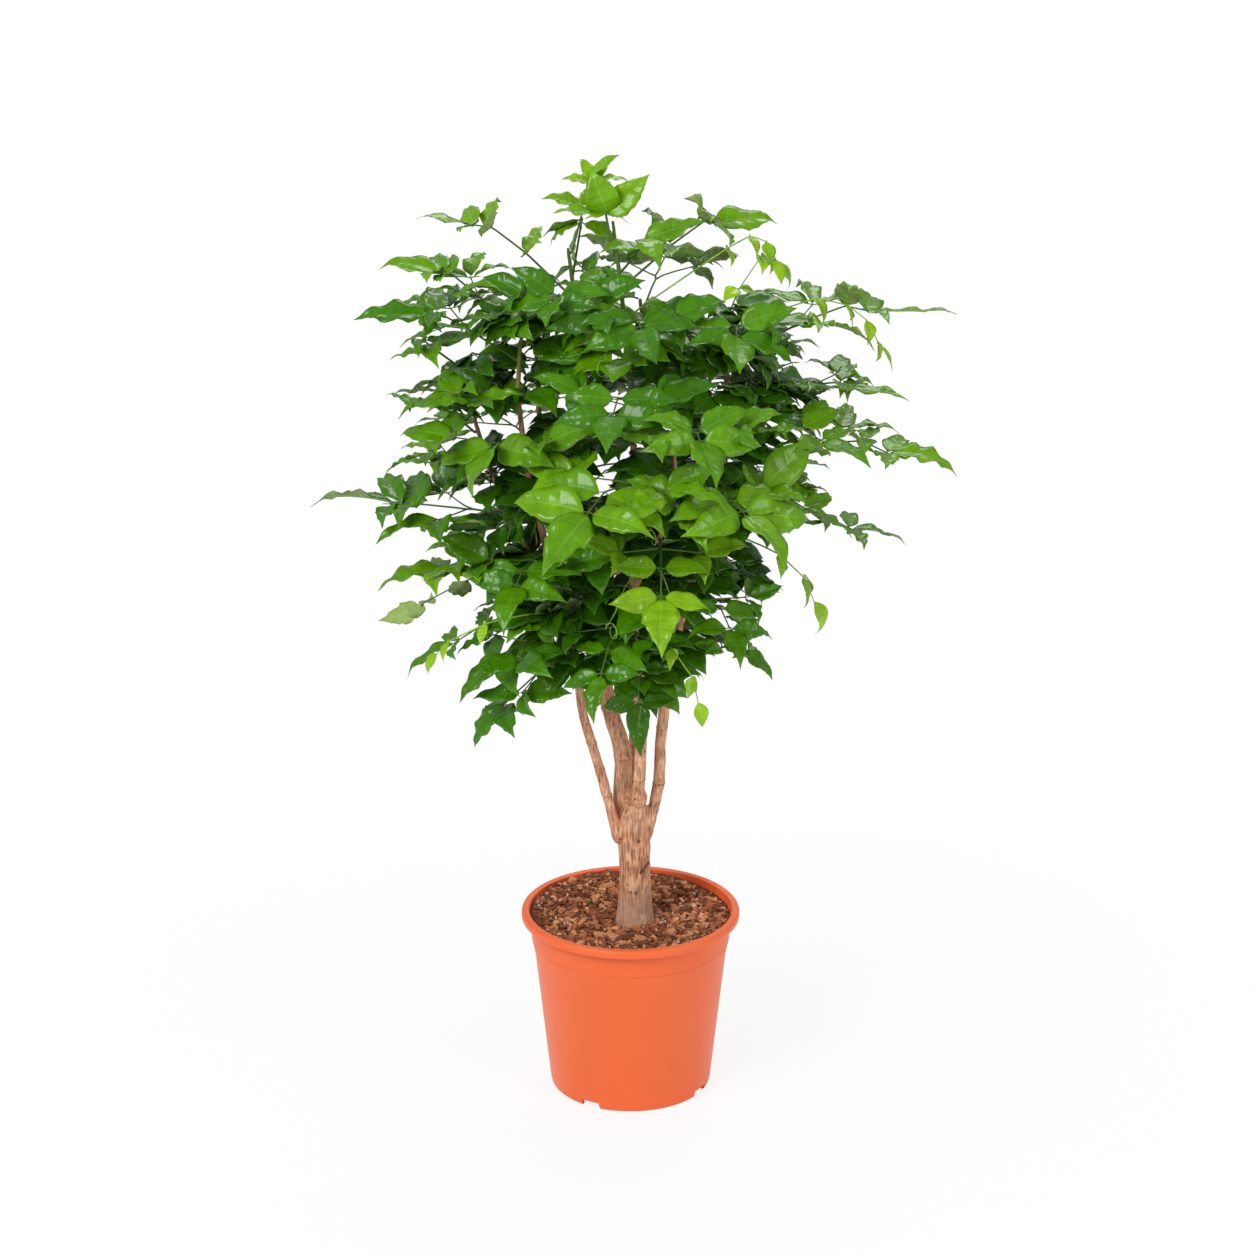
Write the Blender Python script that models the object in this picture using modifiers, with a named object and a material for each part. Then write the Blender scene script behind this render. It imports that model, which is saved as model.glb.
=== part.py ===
"""Potted china doll plant (Radermachera sinica) in a round nursery pot.

Metres, +Z up. The origin is the centre of the pot's base, on the surface that the pot stands on.
The plant's best side faces -Y. Every stem and every compound leaf is an object of its own.
"""

import math
import random

import bmesh
import bpy
from mathutils import Matrix, Vector
from mathutils.bvhtree import BVHTree

# Pot
POT_HEIGHT = 0.205
RIM_RADIUS = 0.1195
RIM_INNER_RADIUS = 0.1110
RIM_DEPTH = 0.0095
NECK_RADIUS = 0.1098
BAND_DEPTH = 0.0355
BAND_RADIUS = 0.1084
STEP = 0.0005
SHOULDER_HEIGHT = 0.156
SHOULDER_RADIUS = 0.1051
FOOT_RADIUS = 0.0880
WALL = 0.0022
FLOOR_LIFT = 0.009
FOOT_RING = 0.0045
POT_SEGMENTS = 48
NOTCH_SIZE = (0.022, 0.020, 0.0075)
NOTCH_AZIMUTHS = (-119, -29, 61, 151)
DRAIN_RADIUS = 0.005
DRAIN_CIRCLE = 0.058
DRAIN_COUNT = 6

# Root ball and trunk
SOIL_LEVEL = 0.1900
SOIL_EDGE_LEVEL = 0.1955
GAP = 0.0003
TRUNK = (
    (0.004, 0.000, 0.135, 0.0110),
    (0.004, 0.000, 0.165, 0.0185),
    (0.0045, 0.000, 0.188, 0.0218),
    (0.005, 0.000, 0.206, 0.0190),
    (0.005, 0.000, 0.250, 0.0170),
    (0.004, 0.000, 0.285, 0.0178),
    (0.004, -0.002, 0.310, 0.0165),
    (0.006, -0.008, 0.330, 0.0110),
)

# Every shoot's line, from its base to its tip: x, y, z and the radius there
SHOOTS = {
    "left": (
        (-0.0140, -0.009, 0.292, 0.0056),
        (-0.0296, -0.013, 0.359, 0.0055),
        (-0.0500, -0.018, 0.433, 0.0050),
        (-0.0550, -0.021, 0.471, 0.0048),
        (-0.072, -0.030, 0.560, 0.0042),
        (-0.100, -0.036, 0.680, 0.0034),
        (-0.116, -0.030, 0.790, 0.0026),
        (-0.108, -0.020, 0.870, 0.0018),
    ),
    "left_fork": (
        (-0.072, -0.030, 0.560, 0.0036),
        (-0.125, -0.012, 0.650, 0.0030),
        (-0.162, 0.010, 0.750, 0.0022),
        (-0.166, 0.025, 0.820, 0.0016),
    ),
    "main": (
        (-0.0060, 0.005, 0.300, 0.0098),
        (-0.0092, 0.006, 0.331, 0.0097),
        (-0.0076, 0.006, 0.371, 0.0095),
        (-0.0124, 0.006, 0.402, 0.0093),
        (-0.0241, 0.008, 0.439, 0.0085),
        (-0.036, 0.012, 0.530, 0.0068),
        (-0.046, 0.012, 0.640, 0.0052),
        (-0.044, 0.006, 0.760, 0.0038),
        (-0.056, 0.004, 0.870, 0.0026),
        (-0.064, 0.002, 0.935, 0.0017),
    ),
    "main_fork": (
        (-0.036, 0.012, 0.530, 0.0050),
        (-0.075, 0.055, 0.630, 0.0040),
        (-0.098, 0.090, 0.740, 0.0030),
        (-0.100, 0.100, 0.840, 0.0019),
    ),
    "centre": (
        (0.0070, -0.0150, 0.334, 0.0074),
        (0.0090, -0.0170, 0.356, 0.0066),
        (0.0112, -0.0180, 0.410, 0.0063),
        (0.0060, -0.0210, 0.490, 0.0056),
        (0.003, -0.034, 0.580, 0.0046),
        (0.004, -0.046, 0.700, 0.0036),
        (0.000, -0.040, 0.800, 0.0028),
        (-0.010, -0.020, 0.900, 0.0022),
        (-0.018, -0.010, 0.965, 0.0016),
    ),
    "centre_fork": (
        (0.003, -0.034, 0.580, 0.0036),
        (0.030, -0.080, 0.650, 0.0030),
        (0.045, -0.104, 0.730, 0.0022),
        (0.040, -0.108, 0.790, 0.0016),
    ),
    "right": (
        (0.0185, -0.001, 0.296, 0.0064),
        (0.0308, 0.000, 0.3505, 0.0062),
        (0.0318, 0.000, 0.392, 0.0060),
        (0.0360, 0.000, 0.433, 0.0060),
        (0.0406, 0.001, 0.482, 0.0058),
        (0.062, 0.006, 0.570, 0.0048),
        (0.088, 0.012, 0.680, 0.0038),
        (0.100, 0.014, 0.790, 0.0028),
        (0.098, 0.012, 0.870, 0.0019),
    ),
    "right_fork": (
        (0.062, 0.006, 0.570, 0.0036),
        (0.105, 0.038, 0.650, 0.0030),
        (0.142, 0.050, 0.740, 0.0022),
        (0.150, 0.045, 0.800, 0.0016),
    ),
    "back": (
        (0.0045, 0.0200, 0.302, 0.0064),
        (0.0035, 0.0290, 0.360, 0.0062),
        (0.0060, 0.0430, 0.430, 0.0058),
        (0.012, 0.068, 0.530, 0.0050),
        (0.020, 0.094, 0.640, 0.0042),
        (0.020, 0.110, 0.760, 0.0030),
        (0.010, 0.110, 0.860, 0.0019),
    ),
    "back_fork": (
        (0.012, 0.068, 0.530, 0.0038),
        (0.055, 0.118, 0.620, 0.0030),
        (0.080, 0.145, 0.720, 0.0022),
        (0.080, 0.150, 0.790, 0.0016),
    ),
}
STEMS = {
    "stem_main": ("main", "main_fork"),
    "stem_right": ("right", "right_fork"),
    "stem_left": ("left", "left_fork"),
    "stem_centre": ("centre", "centre_fork"),
    "stem_back": ("back", "back_fork"),
}
WOOD_SIDES = 3
SHOOT_SIDES = 1
CURVE_STEPS = 2

# Compound leaves: the shoot that carries it, the height it leaves at, the tip of its end leaflet,
# the pairs of side branches, how many of those carry three leaflets, and the leaflet's length
LEAVES = (
    # crown
    ("centre", 0.935, (-0.040, -0.030, 1.018), 1, 0, 0.048),
    ("main", 0.930, (-0.022, 0.000, 1.038), 3, 0, 0.036),
    ("centre", 0.915, (0.052, -0.060, 0.972), 2, 0, 0.050),
    ("centre", 0.900, (0.152, 0.020, 0.972), 3, 0, 0.070),
    ("main", 0.905, (-0.040, 0.085, 0.980), 3, 0, 0.052),
    # left side, from the top down
    ("main", 0.885, (-0.212, 0.010, 0.972), 3, 0, 0.052),
    ("left", 0.850, (-0.248, -0.010, 0.928), 3, 1, 0.058),
    ("left", 0.825, (-0.276, -0.030, 0.876), 3, 1, 0.074),
    ("left_fork", 0.800, (-0.270, 0.020, 0.842), 3, 0, 0.066),
    ("left_fork", 0.740, (-0.262, 0.030, 0.778), 2, 1, 0.058),
    ("left", 0.770, (-0.230, -0.070, 0.785), 3, 1, 0.062),
    ("left_fork", 0.690, (-0.270, 0.000, 0.715), 3, 1, 0.064),
    ("left", 0.660, (-0.328, -0.030, 0.676), 3, 1, 0.088),
    ("left", 0.590, (-0.264, -0.040, 0.584), 3, 1, 0.070),
    ("main", 0.570, (-0.272, 0.070, 0.510), 3, 1, 0.050),
    ("main", 0.535, (-0.240, -0.010, 0.484), 3, 1, 0.058),
    ("left", 0.530, (-0.190, -0.075, 0.472), 2, 1, 0.072),
    ("left", 0.500, (-0.172, -0.030, 0.402), 2, 1, 0.062),
    # towards the front, from the top down
    ("main", 0.860, (-0.090, -0.140, 0.900), 3, 1, 0.058),
    ("centre", 0.860, (0.020, -0.175, 0.866), 3, 1, 0.060),
    ("right", 0.840, (0.110, -0.165, 0.856), 3, 1, 0.062),
    ("left", 0.730, (-0.160, -0.195, 0.745), 2, 1, 0.078),
    ("centre", 0.780, (-0.025, -0.240, 0.792), 3, 1, 0.062),
    ("centre_fork", 0.770, (0.085, -0.255, 0.764), 3, 1, 0.064),
    ("centre_fork", 0.715, (-0.085, -0.300, 0.690), 3, 1, 0.084),
    ("centre_fork", 0.690, (0.155, -0.270, 0.692), 3, 1, 0.084),
    ("centre_fork", 0.650, (0.030, -0.290, 0.604), 3, 1, 0.064),
    ("left", 0.620, (-0.130, -0.195, 0.592), 3, 1, 0.062),
    ("centre", 0.560, (-0.045, -0.180, 0.482), 3, 1, 0.060),
    ("centre", 0.520, (0.012, -0.120, 0.415), 2, 0, 0.068),
    # right side, from the top down
    ("right", 0.815, (0.328, 0.020, 0.862), 3, 1, 0.082),
    ("right_fork", 0.770, (0.282, 0.010, 0.768), 3, 1, 0.058),
    ("right", 0.730, (0.240, -0.110, 0.738), 3, 1, 0.060),
    ("right_fork", 0.700, (0.340, -0.010, 0.697), 3, 1, 0.074),
    ("right", 0.660, (0.232, -0.070, 0.654), 3, 1, 0.062),
    ("right", 0.610, (0.292, 0.030, 0.608), 3, 1, 0.060),
    ("right", 0.560, (0.120, -0.185, 0.548), 3, 1, 0.062),
    ("right", 0.530, (0.168, -0.040, 0.472), 3, 1, 0.060),
    # towards the back, from the top down
    ("back", 0.845, (0.060, 0.255, 0.890), 3, 1, 0.064),
    ("main_fork", 0.815, (-0.160, 0.215, 0.865), 3, 1, 0.064),
    ("back_fork", 0.760, (0.195, 0.230, 0.790), 3, 1, 0.064),
    ("main_fork", 0.700, (-0.205, 0.230, 0.695), 3, 2, 0.064),
    ("back", 0.700, (-0.010, 0.302, 0.720), 3, 2, 0.066),
    ("back_fork", 0.650, (0.175, 0.275, 0.630), 3, 2, 0.066),
    ("main_fork", 0.600, (-0.115, 0.262, 0.550), 3, 2, 0.064),
    ("back", 0.560, (0.070, 0.260, 0.490), 3, 1, 0.064),
)

# Young shoots: the shoot that carries it and the height, the points that its stalk passes,
# the number of leaflet pairs and the leaflet's length
YOUNG_SHOOTS = (
    ("centre", 0.870, ((0.075, -0.030, 0.925), (0.126, -0.035, 0.955), (0.150, -0.035, 0.925)), 4, 0.030),
    ("right", 0.860, ((0.112, -0.020, 0.900), (0.134, -0.030, 0.935)), 2, 0.036),
    ("right", 0.835, ((0.165, -0.020, 0.885), (0.228, -0.025, 0.878), (0.256, -0.025, 0.838)), 4, 0.030),
    ("right_fork", 0.625, ((0.140, 0.000, 0.620), (0.180, -0.010, 0.590), (0.194, -0.012, 0.560)), 3, 0.036),
    ("left", 0.555, ((-0.125, -0.090, 0.570), (-0.185, -0.095, 0.545), (-0.200, -0.095, 0.530)), 3, 0.026),
    ("centre", 0.545, ((0.030, -0.080, 0.545), (0.062, -0.100, 0.510), (0.070, -0.105, 0.480)), 3, 0.026),
)

CROWN_AXIS = (0.0, 0.035)
LEAF_THICKNESS = 0.0012
STALK_BASE_HALF_WIDTH = 0.0017
STALK_TIP_HALF_WIDTH = 0.0011
JOINT_LENGTH = 0.0030
STALK_CLEARANCE = 0.0017
SPARE = 0.0006
LAST_PAIR = 0.93
LEAFLET_WIDTH = 0.56
WIDEST_AT = 0.40
SEED = 7


def clear_scene():
    for obj in list(bpy.data.objects):
        bpy.data.objects.remove(obj, do_unlink=True)


def new_collection(name):
    collection = bpy.data.collections.new(name)
    bpy.context.scene.collection.children.link(collection)
    return collection


def principled(name, colour, roughness):
    """A material with one Principled BSDF of this colour and roughness."""
    material = bpy.data.materials.new(name)
    material.use_nodes = True
    shader = material.node_tree.nodes["Principled BSDF"]
    shader.inputs["Base Color"].default_value = (*colour, 1.0)
    shader.inputs["Roughness"].default_value = roughness
    shader.inputs["Metallic"].default_value = 0.0
    return material


def new_object(name, mesh, collection, material=None):
    obj = bpy.data.objects.new(name, mesh)
    collection.objects.link(obj)
    if material:
        mesh.materials.append(material)
    return obj


def hide_cutter(obj):
    obj.hide_render = True
    obj.display_type = "WIRE"


def boolean(obj, other, operation):
    modifier = obj.modifiers.new(f"{operation.lower()}_{other.name}", "BOOLEAN")
    modifier.operation = operation
    modifier.solver = "EXACT"
    modifier.object = other


def smooth(obj, angle=40):
    obj.data.shade_smooth()
    obj.data.set_sharp_from_angle(angle=math.radians(angle))


def turned(name, profile, collection, material):
    """A solid of revolution about Z from (radius, height) points, outer side running downwards."""
    mesh = bpy.data.meshes.new(name)
    points = [(radius, 0.0, height) for radius, height in profile]
    edges = [(i, i + 1) for i in range(len(points) - 1)]
    mesh.from_pydata(points, edges, [])
    obj = new_object(name, mesh, collection, material)
    screw = obj.modifiers.new("turn", "SCREW")
    screw.axis = "Z"
    screw.steps = POT_SEGMENTS
    screw.render_steps = POT_SEGMENTS
    screw.use_merge_vertices = True
    screw.merge_threshold = 0.0001
    screw.use_smooth_shade = True
    return obj


def tube(name, line, spare, bevel_resolution, collection, material):
    """A round bar along (x, y, z, radius) points, each radius grown by spare, as a closed mesh."""
    curve = bpy.data.curves.new(name + "_line", "CURVE")
    curve.dimensions = "3D"
    curve.bevel_depth = 1.0
    curve.bevel_resolution = bevel_resolution
    curve.use_fill_caps = True
    spline = curve.splines.new("POLY")
    spline.points.add(len(line) - 1)
    for point, (x, y, z, radius) in zip(spline.points, line):
        point.co = (x, y, z, 1.0)
        point.radius = radius + spare
    guide = new_object(name + "_line", curve, collection)
    bpy.context.view_layer.update()
    graph = bpy.context.evaluated_depsgraph_get()
    mesh = bpy.data.meshes.new_from_object(guide.evaluated_get(graph))
    mesh.name = name
    bpy.data.objects.remove(guide, do_unlink=True)
    weld = bmesh.new()
    weld.from_mesh(mesh)
    bmesh.ops.remove_doubles(weld, verts=weld.verts, dist=1e-6)
    bmesh.ops.recalc_face_normals(weld, faces=weld.faces)
    weld.to_mesh(mesh)
    weld.free()
    return new_object(name, mesh, collection, material)


def pot_outside(height):
    """Outer radius of the pot's wall below the rim: upper band, sloping shoulder and long taper."""
    step_height = POT_HEIGHT - BAND_DEPTH
    if height >= step_height:
        share = (POT_HEIGHT - RIM_DEPTH - height) / (BAND_DEPTH - RIM_DEPTH)
        return NECK_RADIUS + share * (BAND_RADIUS - NECK_RADIUS)
    if height >= SHOULDER_HEIGHT:
        share = (height - SHOULDER_HEIGHT) / (step_height - SHOULDER_HEIGHT)
        return SHOULDER_RADIUS + share * (BAND_RADIUS - STEP - SHOULDER_RADIUS)
    return FOOT_RADIUS + height / SHOULDER_HEIGHT * (SHOULDER_RADIUS - FOOT_RADIUS)


def make_pot(parts, cutters, material):
    """Moulded nursery pot: rolled rim, stepped band, raised floor, notched foot ring, drain holes."""
    step_height = POT_HEIGHT - BAND_DEPTH
    lip_bottom = POT_HEIGHT - RIM_DEPTH
    floor_top = FLOOR_LIFT + WALL
    profile = (
        (0.0, floor_top),
        (pot_outside(floor_top) - WALL, floor_top),
        (SHOULDER_RADIUS - WALL, SHOULDER_HEIGHT),
        (BAND_RADIUS - STEP - WALL, step_height),
        (NECK_RADIUS - WALL, lip_bottom),
        (RIM_INNER_RADIUS - 0.0012, POT_HEIGHT - 0.0022),
        (RIM_INNER_RADIUS + 0.0006, POT_HEIGHT),
        (RIM_RADIUS - 0.0022, POT_HEIGHT),
        (RIM_RADIUS, POT_HEIGHT - 0.0022),
        (RIM_RADIUS - 0.0004, lip_bottom + 0.0012),
        (RIM_RADIUS - 0.0016, lip_bottom),
        (NECK_RADIUS, lip_bottom + 0.0004),
        (BAND_RADIUS, step_height + 0.0006),
        (BAND_RADIUS - STEP, step_height),
        (SHOULDER_RADIUS, SHOULDER_HEIGHT),
        (pot_outside(0.0012), 0.0012),
        (FOOT_RADIUS - 0.0010, 0.0),
        (FOOT_RADIUS - FOOT_RING, 0.0),
        (FOOT_RADIUS - FOOT_RING - 0.0008, FLOOR_LIFT),
        (0.0, FLOOR_LIFT),
    )
    pot = turned("pot", profile, parts, material)
    for number, azimuth in enumerate(NOTCH_AZIMUTHS, start=1):
        bpy.ops.mesh.primitive_cube_add(size=1.0)
        notch = bpy.context.object
        notch.name = f"notch_cutter_{number}"
        turn = math.radians(azimuth)
        place = Matrix.Rotation(turn, 4, "Z") @ Matrix.Translation((FOOT_RADIUS, 0.0, 0.0))
        width, depth, height = NOTCH_SIZE
        notch.data.transform(place @ Matrix.Diagonal((depth, width, 2 * height, 1.0)))
        move_to(notch, cutters)
        boolean(pot, notch, "DIFFERENCE")
    drains = [(DRAIN_CIRCLE, 360.0 * i / DRAIN_COUNT) for i in range(DRAIN_COUNT)]
    for number, (radius, azimuth) in enumerate(drains + [(0.0, 0.0)], start=1):
        turn = math.radians(azimuth)
        centre = (radius * math.cos(turn), radius * math.sin(turn), FLOOR_LIFT)
        bpy.ops.mesh.primitive_cylinder_add(vertices=12, radius=DRAIN_RADIUS, depth=0.02, location=centre)
        drain = bpy.context.object
        drain.name = f"drain_cutter_{number}"
        move_to(drain, cutters)
        boolean(pot, drain, "DIFFERENCE")
    return pot


def move_to(obj, collection):
    for old in list(obj.users_collection):
        old.objects.unlink(obj)
    collection.objects.link(obj)
    hide_cutter(obj)


def make_root_ball(parts, cutters, material):
    """Potting mix that fills the pot, with a socket for the trunk's buried crown."""
    slack = WALL + 2 * GAP
    step_height = POT_HEIGHT - BAND_DEPTH
    bottom = FLOOR_LIFT + WALL + GAP
    profile = (
        (0.0, SOIL_LEVEL),
        (0.060, SOIL_LEVEL + 0.0008),
        (0.090, SOIL_LEVEL + 0.0030),
        (NECK_RADIUS - slack, SOIL_EDGE_LEVEL),
        (BAND_RADIUS - STEP - slack, step_height),
        (SHOULDER_RADIUS - slack, SHOULDER_HEIGHT),
        (pot_outside(bottom) - slack, bottom),
        (0.0, bottom),
    )
    ball = turned("root_ball", profile, parts, material)
    socket = tube("socket_cutter", smooth_line(TRUNK)[:7], GAP, WOOD_SIDES, cutters, None)
    hide_cutter(socket)
    boolean(ball, socket, "DIFFERENCE")
    return ball


def make_stems(parts, cutters, bark):
    """The trunk and the stems above it. Each stem keeps a hair's gap to the wood that it grows from."""
    made = {"trunk": tube("trunk", smooth_line(TRUNK), 0.0, WOOD_SIDES, parts, bark)}
    blocks = [tube("trunk_cutter", smooth_line(TRUNK), GAP, WOOD_SIDES, cutters, None)]
    for name, (first, fork) in STEMS.items():
        stem = tube(name, smooth_line(SHOOTS[first]), 0.0, WOOD_SIDES, parts, bark)
        branch = tube(fork + "_branch", smooth_line(SHOOTS[fork]), 0.0, SHOOT_SIDES, cutters, None)
        hide_cutter(branch)
        boolean(stem, branch, "UNION")
        for block in blocks:
            boolean(stem, block, "DIFFERENCE")
        blocks.append(tube(name + "_cutter", smooth_line(SHOOTS[first])[:9], GAP, WOOD_SIDES, cutters, None))
        made[name] = stem
    for block in blocks:
        hide_cutter(block)
    for stem in made.values():
        smooth(stem, 50)
    return made


def point_on(shoot, height):
    """The point of a shoot at this height, and the radius there."""
    line = smooth_line(SHOOTS[shoot])
    for low, high in zip(line, line[1:]):
        if low[2] <= height <= high[2]:
            share = (height - low[2]) / (high[2] - low[2])
            mixed = [a + share * (b - a) for a, b in zip(low, high)]
            return Vector(mixed[:3]), mixed[3]
    raise ValueError(f"{shoot} has no point at height {height}")


def on_path(points, share):
    """A point on a smooth line through points, share running from 0 to 1."""
    spans = len(points) - 1
    at = min(share * spans, spans - 1e-6)
    span = int(at)
    t = at - span
    before = points[max(span - 1, 0)]
    start, end = points[span], points[span + 1]
    after = points[min(span + 2, spans)]
    return 0.5 * (
        2 * start
        + (end - before) * t
        + (2 * before - 5 * start + 4 * end - after) * t * t
        + (3 * start - before - 3 * end + after) * t * t * t
    )


class Sheet:
    """An open sheet of faces that grows edge by edge: a stalk's ribbon and the leaflets on it."""

    def __init__(self):
        self.points = []
        self.faces = []

    def add(self, *points):
        self.points.extend(points)
        return range(len(self.points) - len(points), len(self.points))

    def ribbon(self, edge, centre, left, half_width):
        """Carries the ribbon on from its last edge to a new one, and returns that."""
        new = tuple(self.add(centre + left * half_width, centre - left * half_width))
        self.faces.append((edge[0], edge[1], new[1], new[0]))
        return new

    def leaflet(self, edge, shape):
        """A leaflet folded along its midrib, on the edge (left, right) that it grows from."""
        left, middle, right, tip = self.add(*shape)
        low_left, low_right = edge
        self.faces += [
            (low_left, low_right, middle),
            (low_left, middle, left),
            (low_right, right, middle),
            (left, middle, tip),
            (middle, right, tip),
        ]


def leaflet_shape(base, direction, face, length, fold):
    """Left, middle, right and tip of a leaflet that starts at base and faces about along face."""
    left = face.cross(direction).normalized()
    normal = direction.cross(left)
    half = left * (0.5 * LEAFLET_WIDTH * length)
    widest = base + direction * (WIDEST_AT * length)
    return (
        widest + half,
        widest + direction * (0.06 * length) - normal * (fold * length),
        widest - half,
        base + direction * length - normal * (1.4 * fold * length),
    )


def slab(points, faces, rim, up):
    """A closed block about a patch of sheet, thicker than the leaf by the spare room on each side."""
    lift = up * (0.5 * LEAF_THICKNESS + SPARE)
    count = len(points)
    corners = [p + lift for p in points] + [p - lift for p in points]
    sides = [(a, b, b + count, a + count) for a, b in zip(rim, rim[1:] + rim[:1])]
    below = [tuple(i + count for i in reversed(face)) for face in faces]
    return corners, list(faces) + below + sides


LEAFLET_FACES = ((0, 1, 3), (0, 3, 2), (1, 4, 3), (2, 3, 5), (3, 4, 5))
LEAFLET_RIM = [0, 1, 4, 5, 2]


class Room:
    """The space that is already taken, in which each new patch of leaf looks for a free place."""

    def __init__(self):
        self.points = []
        self.faces = []
        self.tree = None

    def fill(self, points, faces):
        start = len(self.points)
        self.points.extend(points)
        self.faces.extend(tuple(i + start for i in face) for face in faces)
        self.tree = None

    def clear_of(self, points, faces):
        if not self.faces:
            return True
        if self.tree is None:
            self.tree = BVHTree.FromPolygons(self.points, self.faces)
        return not self.tree.overlap(BVHTree.FromPolygons(points, faces))


class Frond:
    """A stalk with leaflets on it, grown so that it is clear of everything in the room."""

    def __init__(self, room, leaflet, droop, rng):
        self.room = room
        self.leaflet = leaflet
        self.droop = droop
        self.rng = rng
        self.sheet = Sheet()
        self.own = []
        self.solid = []

    def stalk(self, edge, centre, left, half_width):
        start = [self.sheet.points[i] for i in edge]
        new = self.sheet.ribbon(edge, centre, left, half_width)
        end = [self.sheet.points[i] for i in new]
        quad = [start[0], start[1], end[1], end[0]]
        up = (quad[1] - quad[0]).cross(quad[3] - quad[0]).normalized()
        self.solid.append(slab(quad, ((0, 1, 2, 3),), [0, 1, 2, 3], up))
        return new

    def try_leaflet(self, edge, direction, face, length, droop):
        """Adds a leaflet in the first pose and size that is free, and leaves it out if none is."""
        low_left, low_right = (self.sheet.points[i] for i in edge)
        base = (low_left + low_right) / 2
        for scale in (1.0, 0.86, 0.72):
            for tilt in (0.0, 0.25, -0.25, 0.5, -0.45, 0.8):
                aim = (direction - Vector((0.0, 0.0, tilt + droop))).normalized()
                size = length * scale * self.rng.uniform(0.94, 1.06)
                shape = leaflet_shape(base, aim, face, size, self.rng.uniform(0.03, 0.07))
                centre = (shape[0] + shape[2] + shape[3] + base) / 4
                up = aim.cross(face.cross(aim)).normalized()
                corners = [low_left, low_right, *shape]
                inner = [centre + (p - centre) * 0.9 for p in corners]
                near = slab(inner, LEAFLET_FACES, LEAFLET_RIM, up)
                block = slab(corners, LEAFLET_FACES, LEAFLET_RIM, up)
                if not self.room.clear_of(*block):
                    continue
                if any(BVHTree.FromPolygons(*near).overlap(other) for other in self.own):
                    continue
                self.sheet.leaflet(edge, shape)
                self.own.append(BVHTree.FromPolygons(*near))
                self.solid.append(block)
                return True
        return False

    def some_droop(self):
        return self.droop + self.rng.uniform(-0.15, 0.15)

    def is_clear(self):
        return all(self.room.clear_of(*block) for block in self.solid)


def outward(point):
    """The level direction out of the crown at this point."""
    flat = Vector((point.x - CROWN_AXIS[0], point.y - CROWN_AXIS[1], 0.0))
    return flat.normalized() if flat.length > 0.01 else Vector((0.0, -1.0, 0.0))


def facing(point, rng):
    """The way that a leaflet at this point turns its upper side: up, and out of the crown."""
    scatter = Vector((rng.uniform(-0.3, 0.3), rng.uniform(-0.3, 0.3), 0.0))
    return (Vector((0.0, 0.0, 1.0)) + 0.75 * outward(point) + scatter).normalized()


def frame_at(points, share):
    """Point, direction and left-hand side of a stalk's line at this share of its length."""
    here = on_path(points, share)
    ahead = on_path(points, min(share + 0.02, 1.0))
    behind = on_path(points, max(share - 0.02, 0.0))
    direction = (ahead - behind).normalized()
    left = Vector((0.0, 0.0, 1.0)).cross(direction)
    if left.length < 0.2:
        left = outward(here).cross(direction)
    return here, direction, left.normalized()


def grow_frond(room, points, pairs, branched, leaflet, droop, first_share, rng):
    """A stalk along points with pairs of leaflets, the first ones on short branches of three."""
    frond = Frond(room, leaflet, droop, rng)
    length = sum((b - a).length for a, b in zip(points, points[1:]))
    joint = JOINT_LENGTH / length

    def half_width(share):
        return STALK_BASE_HALF_WIDTH + share * (STALK_TIP_HALF_WIDTH - STALK_BASE_HALF_WIDTH)

    here, direction, left = frame_at(points, 0.0)
    edge = tuple(frond.sheet.add(here + left * half_width(0), here - left * half_width(0)))
    spacing = (LAST_PAIR - first_share) / max(pairs - 1, 1)
    pair_shares = [LAST_PAIR - spacing * i for i in reversed(range(pairs))]
    here, direction, left = frame_at(points, pair_shares[0] / 2)
    edge = frond.stalk(edge, here, left, half_width(pair_shares[0] / 2))
    waiting = []
    for number, share in enumerate(pair_shares):
        here, direction, left = frame_at(points, share)
        low = frond.stalk(edge, here, left, half_width(share))
        here, direction, left = frame_at(points, share + joint)
        edge = frond.stalk(low, here, left, half_width(share))
        spread = math.radians(68 - 16 * share)
        for side, joint_edge in ((1, (low[0], edge[0])), (-1, (edge[1], low[1]))):
            aim = direction * math.cos(spread) + left * (side * math.sin(spread))
            waiting.append((joint_edge, aim, number < branched, share))
    here, direction, left = frame_at(points, 1.0)
    edge = frond.stalk(edge, here, left, half_width(1.0))
    if not frond.is_clear():
        return None
    frond.try_leaflet(edge, direction, facing(here, rng), leaflet, 0.2 * droop)
    for joint_edge, aim, is_branch, share in reversed(waiting):
        if is_branch:
            grow_branch(frond, joint_edge, aim, leaflet)
        else:
            base = frond.sheet.points[joint_edge[0]]
            size = leaflet * rng.uniform(0.78, 0.95)
            frond.try_leaflet(joint_edge, aim, facing(base, rng), size, frond.some_droop())
    return frond


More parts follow.
